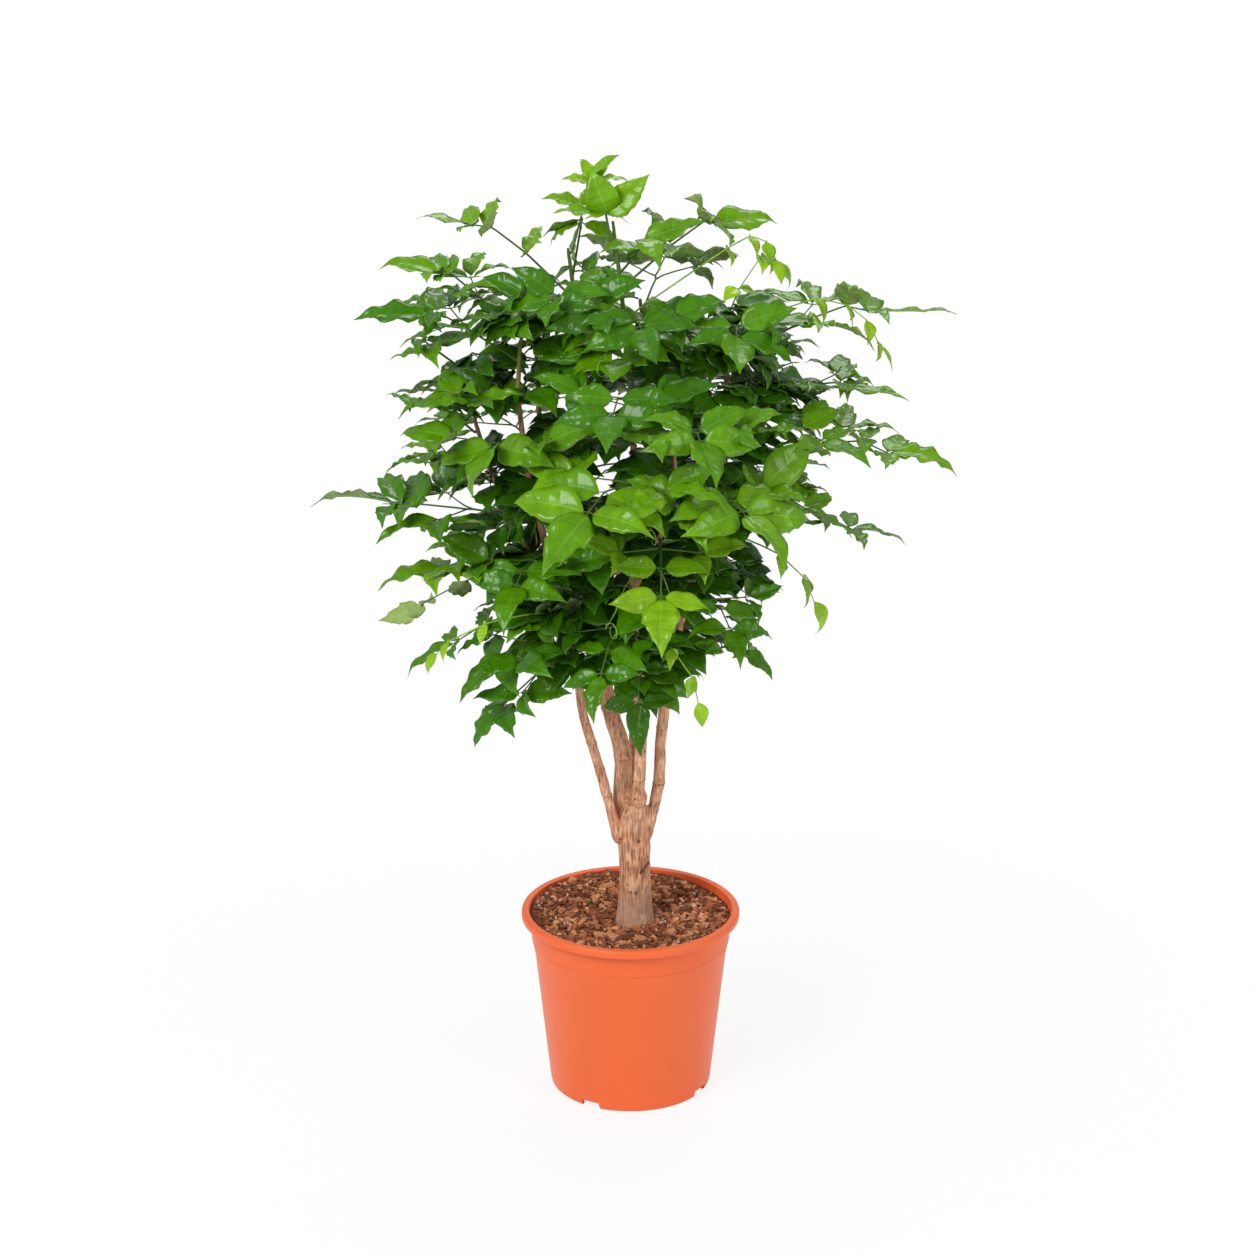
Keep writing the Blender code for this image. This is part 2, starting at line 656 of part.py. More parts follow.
def grow_branch(frond, edge, aim, leaflet):
    """A side branch of a leaf: a short stalk that ends in three leaflets. One leaflet if it has no room."""
    start = (frond.sheet.points[edge[0]] + frond.sheet.points[edge[1]]) / 2
    left = Vector((0.0, 0.0, 1.0)).cross(aim).normalized()
    reach = 0.62 * leaflet
    end = start + aim * reach
    ahead = end + aim * JOINT_LENGTH
    corners = [start + left * 0.0011, start - left * 0.0011, ahead - left * 0.0011, ahead + left * 0.0011]
    if not frond.room.clear_of(*slab(corners, ((0, 1, 2, 3),), [0, 1, 2, 3], aim.cross(left))):
        frond.try_leaflet(edge, aim, facing(start, frond.rng), 0.9 * leaflet, frond.some_droop())
        return
    low = frond.stalk(edge, end, left, 0.0011)
    high = frond.stalk(low, ahead, left, 0.0011)
    frond.try_leaflet(high, aim, facing(end, frond.rng), 0.88 * leaflet, frond.some_droop())
    for side, joint_edge in ((1, (low[0], high[0])), (-1, (high[1], low[1]))):
        turn = math.radians(58)
        across = aim * math.cos(turn) + left * (side * math.sin(turn))
        frond.try_leaflet(joint_edge, across, facing(end, frond.rng), 0.74 * leaflet, frond.some_droop())


def smooth_line(line):
    """More points on a shoot's line, so that it bends and tapers smoothly."""
    spans = len(line) - 1
    centres = [Vector(point[:3]) for point in line]
    radii = [Vector((point[3], 0.0, 0.0)) for point in line]
    shares = [i / (CURVE_STEPS * spans) for i in range(CURVE_STEPS * spans + 1)]
    return [(*on_path(centres, share), on_path(radii, share).x) for share in shares]


def stalk_start(shoot, height, towards):
    """Where a leaf's stalk meets its shoot: on the shoot's skin, on the side that faces the leaf."""
    centre, radius = point_on(shoot, height)
    flat = Vector((towards.x - centre.x, towards.y - centre.y, 0.0)).normalized()
    return centre + flat * (radius + STALK_CLEARANCE)


def leaf_points(shoot, height, tip, leaflet, bow):
    """The line of a compound leaf's stalk, up to the base of its end leaflet."""
    tip = Vector(tip)
    start = stalk_start(shoot, height, tip)
    reach = tip - start
    length = reach.length
    bend = start + reach * 0.45 + Vector((0.0, 0.0, bow * length))
    end = bend + (tip - bend) * (1.0 - leaflet / (tip - bend).length)
    return [start, bend, end]


def finish_frond(name, frond, parts, material):
    mesh = bpy.data.meshes.new(name)
    mesh.from_pydata(frond.sheet.points, [], frond.sheet.faces)
    mesh.update()
    obj = new_object(name, mesh, parts, material)
    solid = obj.modifiers.new("thickness", "SOLIDIFY")
    solid.thickness = LEAF_THICKNESS
    solid.offset = 0.0
    for block in frond.solid:
        frond.room.fill(*block)
    return obj


def grow_leaves(room, parts, material, rng):
    for number, (shoot, height, tip, pairs, branched, leaflet) in enumerate(LEAVES, start=1):
        for bow in (0.14, 0.20, 0.08, 0.26, 0.02, 0.32, -0.04):
            points = leaf_points(shoot, height, tip, leaflet, bow)
            frond = grow_frond(room, points, pairs, branched, leaflet, 0.12, 0.32, rng)
            if frond:
                break
        else:
            raise ValueError(f"leaf {number} has no free place for its stalk")
        finish_frond(f"leaf_{number:02d}", frond, parts, material)


def grow_young_shoots(room, parts, material, rng):
    for number, (shoot, height, way, pairs, leaflet) in enumerate(YOUNG_SHOOTS, start=1):
        way = [Vector(point) for point in way]
        for lift in (0.0, 0.006, -0.006, 0.012, -0.012, 0.02):
            nudge = Vector((0.0, -abs(lift), lift))
            points = [stalk_start(shoot, height, way[0])] + [point + nudge for point in way]
            frond = grow_frond(room, points, pairs, 0, leaflet, 0.75, 0.45, rng)
            if frond:
                break
        else:
            raise ValueError(f"young shoot {number} has no free place for its stalk")
        finish_frond(f"young_shoot_{number}", frond, parts, material)


def take_up_room(room, obj):
    """Marks an object's finished shape as taken."""
    graph = bpy.context.evaluated_depsgraph_get()
    evaluated = obj.evaluated_get(graph)
    mesh = evaluated.to_mesh()
    room.fill([v.co.copy() for v in mesh.vertices], [tuple(p.vertices) for p in mesh.polygons])
    evaluated.to_mesh_clear()


def main():
    clear_scene()
    rng = random.Random(SEED)
    parts = new_collection("china_doll_plant")
    cutters = new_collection("cutters")
    cutters.hide_render = True
    plastic = principled("pot_plastic", (0.86, 0.17, 0.045), 0.42)
    mix = principled("potting_mix", (0.12, 0.045, 0.02), 0.95)
    bark = principled("bark", (0.30, 0.19, 0.12), 0.85)
    mature = principled("mature_leaf", (0.03, 0.16, 0.02), 0.30)
    young = principled("young_leaf", (0.22, 0.42, 0.05), 0.40)
    make_pot(parts, cutters, plastic)
    make_root_ball(parts, cutters, mix)
    stems = make_stems(parts, cutters, bark)
    bpy.context.view_layer.update()
    room = Room()
    for stem in stems.values():
        take_up_room(room, stem)
    grow_young_shoots(room, parts, young, rng)
    grow_leaves(room, parts, mature, rng)


main()
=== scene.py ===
"""Finished surfaces of a potted china doll plant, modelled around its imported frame.

The frame gives each compound leaf as a plain folded sheet, each stem as a plain tube and the pot as a
plain shell. Here each leaflet becomes a quilted, toothed blade on a round stalk, the stems get bark, the
root ball gets bark chips and coir, and the pot gets its rolled rim and moulded foot.
Metres, +Z up. The origin is the centre of the pot's base, and the plant's best side faces -Y.
"""

import math
import random
from contextlib import contextmanager

import bmesh
import bpy
import numpy as np
from mathutils import Matrix, Vector, noise
from mathutils.bvhtree import BVHTree
from mathutils.kdtree import KDTree


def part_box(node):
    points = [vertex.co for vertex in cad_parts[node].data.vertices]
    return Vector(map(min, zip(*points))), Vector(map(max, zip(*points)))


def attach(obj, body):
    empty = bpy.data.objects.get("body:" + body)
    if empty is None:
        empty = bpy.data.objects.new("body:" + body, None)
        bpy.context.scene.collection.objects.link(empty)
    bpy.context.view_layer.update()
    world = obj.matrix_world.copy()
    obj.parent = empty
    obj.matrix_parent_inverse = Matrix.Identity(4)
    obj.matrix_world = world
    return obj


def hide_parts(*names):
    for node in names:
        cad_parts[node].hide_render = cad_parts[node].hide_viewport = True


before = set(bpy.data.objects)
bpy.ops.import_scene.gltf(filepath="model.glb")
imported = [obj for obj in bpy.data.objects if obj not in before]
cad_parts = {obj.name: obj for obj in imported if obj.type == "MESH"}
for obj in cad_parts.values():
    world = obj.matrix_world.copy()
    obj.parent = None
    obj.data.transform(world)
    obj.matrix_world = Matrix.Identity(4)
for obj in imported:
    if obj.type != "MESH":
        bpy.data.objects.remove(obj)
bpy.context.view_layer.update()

bl_info = {
    "name": "Potted china doll plant",
    "version": (1, 0, 0),
    "blender": (4, 5, 0),
    "location": "3D View > Sidebar > Plant",
    "description": "Models the finished leaves, bark, potting mix and pot of a china doll plant",
    "category": "Add Mesh",
}

MM = 0.001
WELD = 0.01 * MM
TURN = 2 * math.pi
UP = Vector((0, 0, 1))
WOOD_NODES = ("trunk", "stem_main", "stem_right", "stem_left", "stem_centre", "stem_back")
LEAF_NODES = sorted(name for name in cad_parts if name.startswith("leaf_"))
SHOOT_NODES = sorted(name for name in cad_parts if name.startswith("young_shoot_"))
POT_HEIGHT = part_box("pot")[1].z
RIM_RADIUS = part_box("pot")[1].x
CROWN_AXIS = Vector((0.0, 0.035, 0.0))
# Pairs of side veins on a blade, in its shape and in its colours
VEIN_PAIRS = 6
# Random seeds: of what is scattered, of the first leaf of each kind and of the first blade of each kind
CHIP_SEED, FIBRE_SEED, GRAIN_SEED = 11, 12, 13
LEAF_SEED, SHOOT_SEED, INNER_SEED, CURL_SEED = 100, 200, 300, 700
GROWN_BLADE_SEED, YOUNG_BLADE_SEED, INNER_BLADE_SEED = 20, 50, 70


# Colour and node helpers

def linear(hex_colour):
    """The linear colour and alpha of an sRGB hex value."""
    channels = [int(hex_colour[i:i + 2], 16) / 255 for i in (1, 3, 5)]
    return [c / 12.92 if c <= 0.04045 else ((c + 0.055) / 1.055) ** 2.4 for c in channels] + [1.0]


def per_metre(millimetres):
    """The pattern scale at which a feature is this many millimetres across."""
    return 1 / (millimetres * MM)


def plain(value):
    """A hex colour as its linear value, and any other value as it is."""
    return linear(value) if isinstance(value, str) else value


def feed(node, inputs):
    """Gives a node's inputs their values, or links from sockets or from other nodes' first outputs."""
    for name, value in dict(inputs).items():
        if isinstance(value, bpy.types.Node):
            value = value.outputs[0]
        if isinstance(value, bpy.types.NodeSocket):
            node.id_data.links.new(value, node.inputs[name])
        else:
            node.inputs[name].default_value = plain(value)


def add(tree, kind, inputs=(), stops=(), **settings):
    """Adds a shader node with its settings, its inputs and its ramp stops."""
    made = tree.nodes.new("ShaderNode" + kind)
    for name, value in settings.items():
        setattr(made, name, value)
    feed(made, inputs)
    for number, (place, colour) in enumerate(stops):
        points = made.color_ramp.elements
        stop = points[number] if number < 2 else points.new(place)
        stop.position = place
        stop.color = plain(colour)
    return made


def new_material(name):
    """An empty node material with its tree and its Principled shader, linked to the output."""
    material = bpy.data.materials.new(name)
    material.use_nodes = True
    tree = material.node_tree
    tree.nodes.clear()
    shader = add(tree, "BsdfPrincipled")
    add(tree, "OutputMaterial", {"Surface": shader})
    return material, tree, shader


# Object helpers

def deselect():
    """Leaves nothing selected, which every operator call starts from."""
    bpy.ops.object.select_all(action="DESELECT")


def activate(piece, *others):
    """Selects these objects and no others, with the first one active."""
    deselect()
    for obj in (piece,) + others:
        obj.select_set(True)
    bpy.context.view_layer.objects.active = piece


def apply_modifier(piece, kind, **settings):
    """Adds a modifier with its settings and applies it."""
    activate(piece)
    modifier = piece.modifiers.new(kind.lower(), kind)
    for name, value in settings.items():
        setattr(modifier, name, value)
    bpy.ops.object.modifier_apply(modifier=modifier.name)


@contextmanager
def editing():
    """Edit mode with all of the active object selected, and object mode again afterwards."""
    bpy.ops.object.mode_set(mode="EDIT")
    bpy.ops.mesh.select_all(action="SELECT")
    yield
    bpy.ops.object.mode_set(mode="OBJECT")


def remove(obj):
    """Removes an object, and its mesh or curve if nothing else shows it."""
    data = obj.data
    bpy.data.objects.remove(obj)
    if not data.users:
        (bpy.data.meshes if isinstance(data, bpy.types.Mesh) else bpy.data.curves).remove(data)


def joined_shape(node):
    """A frame node's mesh with its loose triangles joined."""
    shape = bmesh.new()
    shape.from_mesh(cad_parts[node].data)
    bmesh.ops.remove_doubles(shape, verts=shape.verts, dist=WELD)
    return shape


def link_object(name, data):
    """A new object in the scene that shows a mesh, a curve, a light or a camera."""
    made = bpy.data.objects.new(name, data)
    bpy.context.scene.collection.objects.link(made)
    return made


def finish(piece, slot, *nodes, angle=180):
    """Gives a piece its shading, hides the frame nodes that it stands for and sets it on the root body; the
    slot is not used.
    """
    activate(piece)
    bpy.ops.object.transform_apply(location=True, rotation=True, scale=True)
    bpy.ops.object.shade_smooth_by_angle(angle=math.radians(angle))
    if nodes:
        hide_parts(*nodes)
    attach(piece, "root")
    deselect()


def smoothstep(low, high, value):
    """A smooth step from 0 at low to 1 at high."""
    share = min(max((value - low) / (high - low), 0.0), 1.0)
    return share * share * (3 - 2 * share)


def read_line(points, value):
    """The height at value of a broken line through (place, height) points."""
    return float(np.interp(value, [p[0] for p in points], [p[1] for p in points]))


# Settings that a user would change

def length_setting(name, description, default):
    return bpy.props.FloatProperty(name=name, description=description, default=default, unit="LENGTH")


def colour_setting(name, description, hex_colour):
    return bpy.props.FloatVectorProperty(
        name=name, description=description, subtype="COLOR", size=4, min=0, max=1,
        default=linear(hex_colour))


class PotSettings(bpy.types.PropertyGroup):
    colour: colour_setting("Plastic", "Colour of the pot's polypropylene", "#F1682D")
    wall: length_setting("Wall", "Thickness of the pot's wall", 0.0022)
    rim_depth: length_setting("Rim depth", "Height of the rolled rim", 0.0095)
    rim_inside: length_setting("Rim opening", "Inner radius of the rolled rim", 0.1110)
    neck: length_setting("Neck", "Outer radius of the wall under the rim", 0.1098)
    band_depth: length_setting("Band", "Depth of the wider band below the top", 0.0355)
    band: length_setting("Band radius", "Outer radius at the band's lower edge", 0.1084)
    step: length_setting("Step", "How far the wall steps in under the band", 0.0005)
    shoulder_height: length_setting("Shoulder", "Height at which the sloping shoulder ends", 0.156)
    shoulder: length_setting("Shoulder radius", "Outer radius at the shoulder's lower end", 0.1051)
    foot: length_setting("Foot", "Outer radius of the foot ring", 0.0880)
    floor_lift: length_setting("Floor lift", "Height of the floor's underside", 0.009)


class SoilSettings(bpy.types.PropertyGroup):
    level: length_setting("Level", "Height of the potting mix beside the trunk", 0.1868)
    neck_inside: length_setting("Reach", "Radius of the potting mix at its surface", 0.1098)
    mound: length_setting("Mound", "How much higher the mix lies at the back left", 0.0125)
    edge_rise: length_setting("Edge rise", "How much higher the mix lies along the wall", 0.0085)
    chips: bpy.props.IntProperty(name="Bark chips", description="Number of bark chips", default=1050)
    fibres: bpy.props.IntProperty(name="Fibres", description="Number of coir fibres", default=400)
    grains: bpy.props.IntProperty(name="Grains", description="Number of pale grains", default=165)


class WoodSettings(bpy.types.PropertyGroup):
    voxel: length_setting("Bark grain", "Distance between the points of the modelled bark", 0.0011)
    fissures: length_setting("Fissures", "Depth of the bark's fissures on the trunk", 0.0011)
    kept: bpy.props.FloatProperty(name="Kept", description="Share of the wood's faces that is kept",
                                  default=0.6, subtype="FACTOR")


class LeafSettings(bpy.types.PropertyGroup):
    old: colour_setting("Old leaf", "Upper side of the oldest leaflets", "#234A00")
    grown: colour_setting("Grown leaf", "Upper side of the grown leaflets", "#3E7800")
    fresh: colour_setting("Fresh leaf", "Upper side of this season's leaflets", "#689C02")
    new: colour_setting("New leaf", "Upper side of the newest leaflets", "#97C218")
    inner: bpy.props.IntProperty(
        name="Inner leaves", description="Number of leaves that only fill the crown", default=165)


class StageSettings(bpy.types.PropertyGroup):
    key: bpy.props.FloatProperty(name="Key light", description="Power of the key light", default=58,
                                 subtype="POWER")
    fill: bpy.props.FloatProperty(name="Fill light", description="Power of the fill light", default=23,
                                  subtype="POWER")
    world: bpy.props.FloatProperty(name="Surround", description="Strength of the even light", default=0.42)


# Materials

def polypropylene(colour):
    """Injection-moulded polypropylene: waxy and satin, so light slides off it in broad, soft patches."""
    material, tree, shader = new_material("moulded_polypropylene")
    place = add(tree, "TexCoord").outputs["Object"]
    # Flow marks 70 mm across, and the mould's grit, drawn 0.9 mm across because the real grit is too fine
    flow = add(tree, "TexNoise", {"Vector": place, "Scale": per_metre(70), "Detail": 3})
    mottle = add(tree, "MixRGB", {"Fac": flow, "Color1": colour,
                                  "Color2": [c * 0.93 for c in colour[:3]] + [1.0]})
    grit = add(tree, "TexNoise", {"Vector": place, "Scale": per_metre(0.9), "Detail": 2})
    skin = add(tree, "Bump", {"Height": grit, "Strength": 0.12, "Distance": 0.1 * MM})
    gloss = add(tree, "MapRange", {"Value": flow, "To Min": 0.40, "To Max": 0.52})
    feed(shader, {"Base Color": mottle, "Normal": skin, "Roughness": gloss, "IOR": 1.49,
                  "Sheen Weight": 0.25, "Sheen Roughness": 0.4, "Sheen Tint": "#F6C9B4"})
    return material


def stem_bark():
    """Young woody bark: dry and matt, with long shallow fissures, streaks and dark leaf scars."""
    material, tree, shader = new_material("stem_bark")
    place = add(tree, "TexCoord").outputs["Object"]
    # Streaks, cracks and ridges 1 to 2 mm wide and nine times as long, and patches 26 mm across
    drawn = add(tree, "Mapping", {"Vector": place, "Scale": (1, 1, 0.11)})
    streaks = add(tree, "TexNoise", {"Vector": drawn, "Scale": per_metre(1.9), "Detail": 6,
                                     "Roughness": 0.68})
    cracks = add(tree, "TexNoise", {"Vector": drawn, "Scale": per_metre(1.3), "Detail": 2})
    patches = add(tree, "TexNoise", {"Vector": place, "Scale": per_metre(26), "Detail": 4})
    fine = add(tree, "TexNoise", {"Vector": drawn, "Scale": per_metre(1.1), "Detail": 4})
    tone = add(tree, "ValToRGB", {"Fac": streaks}, (
        (0.28, "#8C6249"), (0.42, "#C89979"), (0.56, "#E8BA98"), (0.72, "#FCDCC0")))
    grey = add(tree, "ValToRGB", {"Fac": patches}, ((0.38, "#DCB59C"), (0.52, "#FFF4EA"), (0.68, "#E4DCD4")))
    split = add(tree, "ValToRGB", {"Fac": cracks}, (
        (0.34, "#AD8870"), (0.44, "#FFFFFF"), (0.60, "#FFFFFF"), (0.68, "#FFF3E6")))
    bark = tone
    for share, layer in ((0.75, grey), (0.85, split)):
        bark = add(tree, "MixRGB", {"Fac": share, "Color1": bark, "Color2": layer}, blend_type="MULTIPLY")
    marks = add(tree, "SeparateColor", {"Color": add(tree, "Attribute", attribute_name="bark_marks")})
    # Dark scars and hollows, with painted shade in the fissures and under the collars; green young wood; and
    # the greyed foot of the trunk
    for mark, tint in (("Red", "#5A3A28"), ("Green", "#4C6A1E"), ("Blue", "#B0917C")):
        bark = add(tree, "MixRGB", {"Fac": marks.outputs[mark], "Color1": bark, "Color2": tint})
    relief = add(tree, "Bump", {"Height": fine, "Strength": 0.7, "Distance": 0.6 * MM})
    feed(shader, {"Base Color": bark, "Normal": relief, "Roughness": 0.78})
    return material


def potting_mix():
    """Damp peat and coir dust: dark, crumbly and quite matt, the ground that the chips lie in."""
    material, tree, shader = new_material("potting_mix")
    place = add(tree, "TexCoord").outputs["Object"]
    # Crumbs 3.5 mm across, broken down finer; the colour darkens where their relief is low, which is painted
    # shade in the hollows between them
    crumbs = add(tree, "TexNoise", {"Vector": place, "Scale": per_metre(3.5), "Detail": 8, "Roughness": 0.7})
    tone = add(tree, "ValToRGB", {"Fac": crumbs}, (
        (0.34, "#2C160B"), (0.5, "#6B3A20"), (0.62, "#9A5A36"), (0.75, "#C88A5E")))
    relief = add(tree, "Bump", {"Height": crumbs, "Strength": 1.0, "Distance": 1.5 * MM})
    feed(shader, {"Base Color": tone, "Normal": relief, "Roughness": 0.9})
    return material


def broken_bark(name, dark, middle, light):
    """Broken, dry plant matter in one family of tints: fibrous along its length and matt."""
    material, tree, shader = new_material(name)
    place = add(tree, "TexCoord").outputs["Object"]
    tint = add(tree, "Attribute", attribute_name="tint").outputs["Fac"]
    base = add(tree, "ValToRGB", {"Fac": tint}, ((0.0, dark), (0.55, middle), (1.0, light)))
    # Bundles of fibres, drawn 1.6 mm across because single fibres are too fine to show
    fibre = add(tree, "TexNoise", {"Vector": place, "Scale": per_metre(1.6), "Detail": 5, "Roughness": 0.7})
    # Painted shade: darker in the grooves between the fibre bundles
    shade = add(tree, "ValToRGB", {"Fac": fibre}, ((0.34, "#7C685C"), (0.52, "#FFFFFF"), (0.7, "#FFF4E8")))
    colour = add(tree, "MixRGB", {"Fac": 0.85, "Color1": base, "Color2": shade}, blend_type="MULTIPLY")
    relief = add(tree, "Bump", {"Height": fibre, "Strength": 0.8, "Distance": 0.5 * MM})
    feed(shader, {"Base Color": colour, "Normal": relief, "Roughness": 0.8})
    return material


def vein_masks(tree):
    """How near a point is to the midrib and to a side vein, from a blade's own map, each from 0 to 1."""
    across = add(tree, "SeparateXYZ", {"Vector": add(tree, "UVMap", uv_map="blade")})
    aside = add(tree, "Math", {0: across.outputs["X"], 1: 0.5}, operation="SUBTRACT")
    aside = add(tree, "Math", {0: aside}, operation="ABSOLUTE")
    midrib = add(tree, "MapRange", {"Value": aside, "From Min": 0.0, "From Max": 0.035,
                                    "To Min": 1.0, "To Max": 0.0}, interpolation_type="SMOOTHSTEP")
    rows = add(tree, "Math", {0: across.outputs["Y"], 1: TURN * VEIN_PAIRS}, operation="MULTIPLY")
    wave = add(tree, "Math", {0: rows}, operation="COSINE")
    veins = add(tree, "MapRange", {"Value": wave, "From Min": 0.90, "From Max": 1.0,
                                   "To Min": 0.0, "To Max": 1.0}, interpolation_type="SMOOTHSTEP")
    fading = add(tree, "MapRange", {"Value": aside, "From Min": 0.1, "From Max": 0.5,
                                    "To Min": 1.0, "To Max": 0.15})
    return midrib, add(tree, "Math", {0: veins, 1: fading}, operation="MULTIPLY")


def leaf_cuticle(settings):
    """Waxed upper side of a leaflet: deep green under a glossy skin, sunken paler veins."""
    material, tree, shader = new_material("leaf_cuticle")
    midrib, veins = vein_masks(tree)
    place = add(tree, "TexCoord").outputs["Object"]
    tint = add(tree, "Attribute", attribute_name="tint").outputs["Fac"]
    green = add(tree, "ValToRGB", {"Fac": tint}, (
        (0.0, settings.old), (0.35, settings.grown), (0.7, settings.fresh), (1.0, settings.new)))
    # Lighter and darker patches 16 mm across, and the puckers between small veins, 5 mm across
    cloud = add(tree, "TexNoise", {"Vector": place, "Scale": per_metre(16), "Detail": 3})
    mottle, worn = (add(tree, "MapRange", {"Value": cloud, "From Min": 0.3, "From Max": 0.7,
                                           "To Min": low, "To Max": high})
                    for low, high in ((0.80, 1.15), (0.24, 0.40)))
    green = add(tree, "HueSaturation", {"Color": green, "Value": mottle})
    pale = add(tree, "HueSaturation", {"Color": green, "Saturation": 0.85, "Value": 1.9})
    lit = add(tree, "Math", {0: veins, 1: 0.15}, operation="MULTIPLY")
    rib = add(tree, "Math", {0: midrib, 1: 0.38}, operation="MULTIPLY")
    mask = add(tree, "Math", {0: lit, 1: rib}, operation="MAXIMUM")
    colour = add(tree, "MixRGB", {"Fac": mask, "Color1": green, "Color2": pale})
    cells = add(tree, "TexNoise", {"Vector": place, "Scale": per_metre(5), "Detail": 2})
    sunk = add(tree, "Math", {0: midrib, 1: veins}, operation="MAXIMUM")
    hollow = add(tree, "Math", {0: sunk, 1: 0.5}, operation="MULTIPLY")
    height = add(tree, "Math", {0: cells, 1: hollow}, operation="SUBTRACT")
    relief = add(tree, "Bump", {"Height": height, "Strength": 0.42, "Distance": 1.0 * MM})
    feed(shader, {"Base Color": colour, "Normal": relief, "Roughness": worn, "Specular IOR Level": 0.12,
                  "Coat Weight": 0.36, "Coat Roughness": 0.14})
    return material


def leaf_underside():
    """Unwaxed lower side of a leaflet: paler, greyer and matt, with raised veins."""
    material, tree, shader = new_material("leaf_underside")
    midrib, veins = vein_masks(tree)
    tint = add(tree, "Attribute", attribute_name="tint").outputs["Fac"]
    green = add(tree, "ValToRGB", {"Fac": tint}, ((0.0, "#66814C"), (0.5, "#86A254"), (1.0, "#AAC562")))
    raised = add(tree, "Math", {0: midrib, 1: veins}, operation="MAXIMUM")
    share = add(tree, "Math", {0: raised, 1: 0.4}, operation="MULTIPLY")
    colour = add(tree, "MixRGB", {"Fac": share, "Color1": green, "Color2": "#B4C488"})
    relief = add(tree, "Bump", {"Height": raised, "Strength": 0.3, "Distance": 0.4 * MM})
    feed(shader, {"Base Color": colour, "Normal": relief, "Roughness": 0.55})
    return material


def leaf_stalk(name, hex_colour):
    """Smooth living stalk: a thin waxy skin over wet tissue, satin rather than glossy."""
    material, tree, shader = new_material(name)
    place = add(tree, "TexCoord").outputs["Object"]
    # Paler and darker stretches 14 mm long
    bands = add(tree, "TexNoise", {"Vector": place, "Scale": per_metre(14), "Detail": 3})
    tone = add(tree, "MapRange", {"Value": bands, "To Min": 0.7, "To Max": 1.3})
    colour = add(tree, "HueSaturation", {"Color": hex_colour, "Value": tone})
    feed(shader, {"Base Color": colour, "Roughness": 0.45})
    return material


# Pot

POT_SEGMENTS = 144
FOOT_RING = 4.5 * MM
FOOT_SLOPE = 0.8 * MM
FOOT_ROUND = 2.6 * MM
FOOT_LINE = 5.0 * MM
LINE_DEPTH = 0.25 * MM
BAND_GROOVE = 0.5 * MM
BAND_ROUND = 0.8 * MM
RIM_UNDER_ROUND = 2.0 * MM
RIM_TOP_ROUND = (3.4 * MM, 3.6 * MM)
RIM_MOUTH_ROUND = 1.4 * MM
DRAIN_RADIUS = 5 * MM
DRAIN_CIRCLE = 58 * MM
DRAIN_COUNT = 6
DRAIN_SIDES = 24
DRAIN_CUT = 20 * MM
NOTCH_SIZE = (20 * MM, 24 * MM, 15 * MM)
NOTCH_SLANT = 3 * MM
NOTCH_AZIMUTHS = (-119, -29, 61, 151)
NICK_AZIMUTHS = (-87, -22, 34, 88, 118, 149, 203)
NICK_SIZE = (14 * MM, 0.8 * MM, 1.0 * MM)
NICK_INSET = 2 * MM
SHADING_EDGE = 32


def extruded_rings(name, rings, segments):
    """A closed round body: a disc, extruded and resized to each next (radius, height) in turn."""
    radius, height = rings[0]
    deselect()
    bpy.ops.mesh.primitive_circle_add(vertices=segments, radius=radius, fill_type="NGON",
                                      location=(0, 0, height))
    body = bpy.context.object
    body.name = name
    bpy.ops.object.transform_apply(location=True)
    with editing():
        for next_radius, next_height in rings[1:]:
            bpy.ops.mesh.extrude_region_move(
                TRANSFORM_OT_translate={"value": (0, 0, next_height - height)})
            bpy.ops.transform.resize(value=(next_radius / radius, next_radius / radius, 1))
            radius, height = next_radius, next_height
        bpy.ops.mesh.select_all(action="SELECT")
        bpy.ops.mesh.normals_make_consistent(inside=False)
    return body


def quarter(centre, radii, start, end, steps=5):
    """(radius, height) points on an ellipse's arc, with its angles in degrees from straight outwards."""
    angles = [math.radians(start + (end - start) * i / steps) for i in range(steps + 1)]
    return [(centre[0] + radii[0] * math.cos(a), centre[1] + radii[1] * math.sin(a)) for a in angles]


def pot_radius(settings, height):
    """Outer radius of the wall's long taper, below the shoulder."""
    return settings.foot + height / settings.shoulder_height * (settings.shoulder - settings.foot)


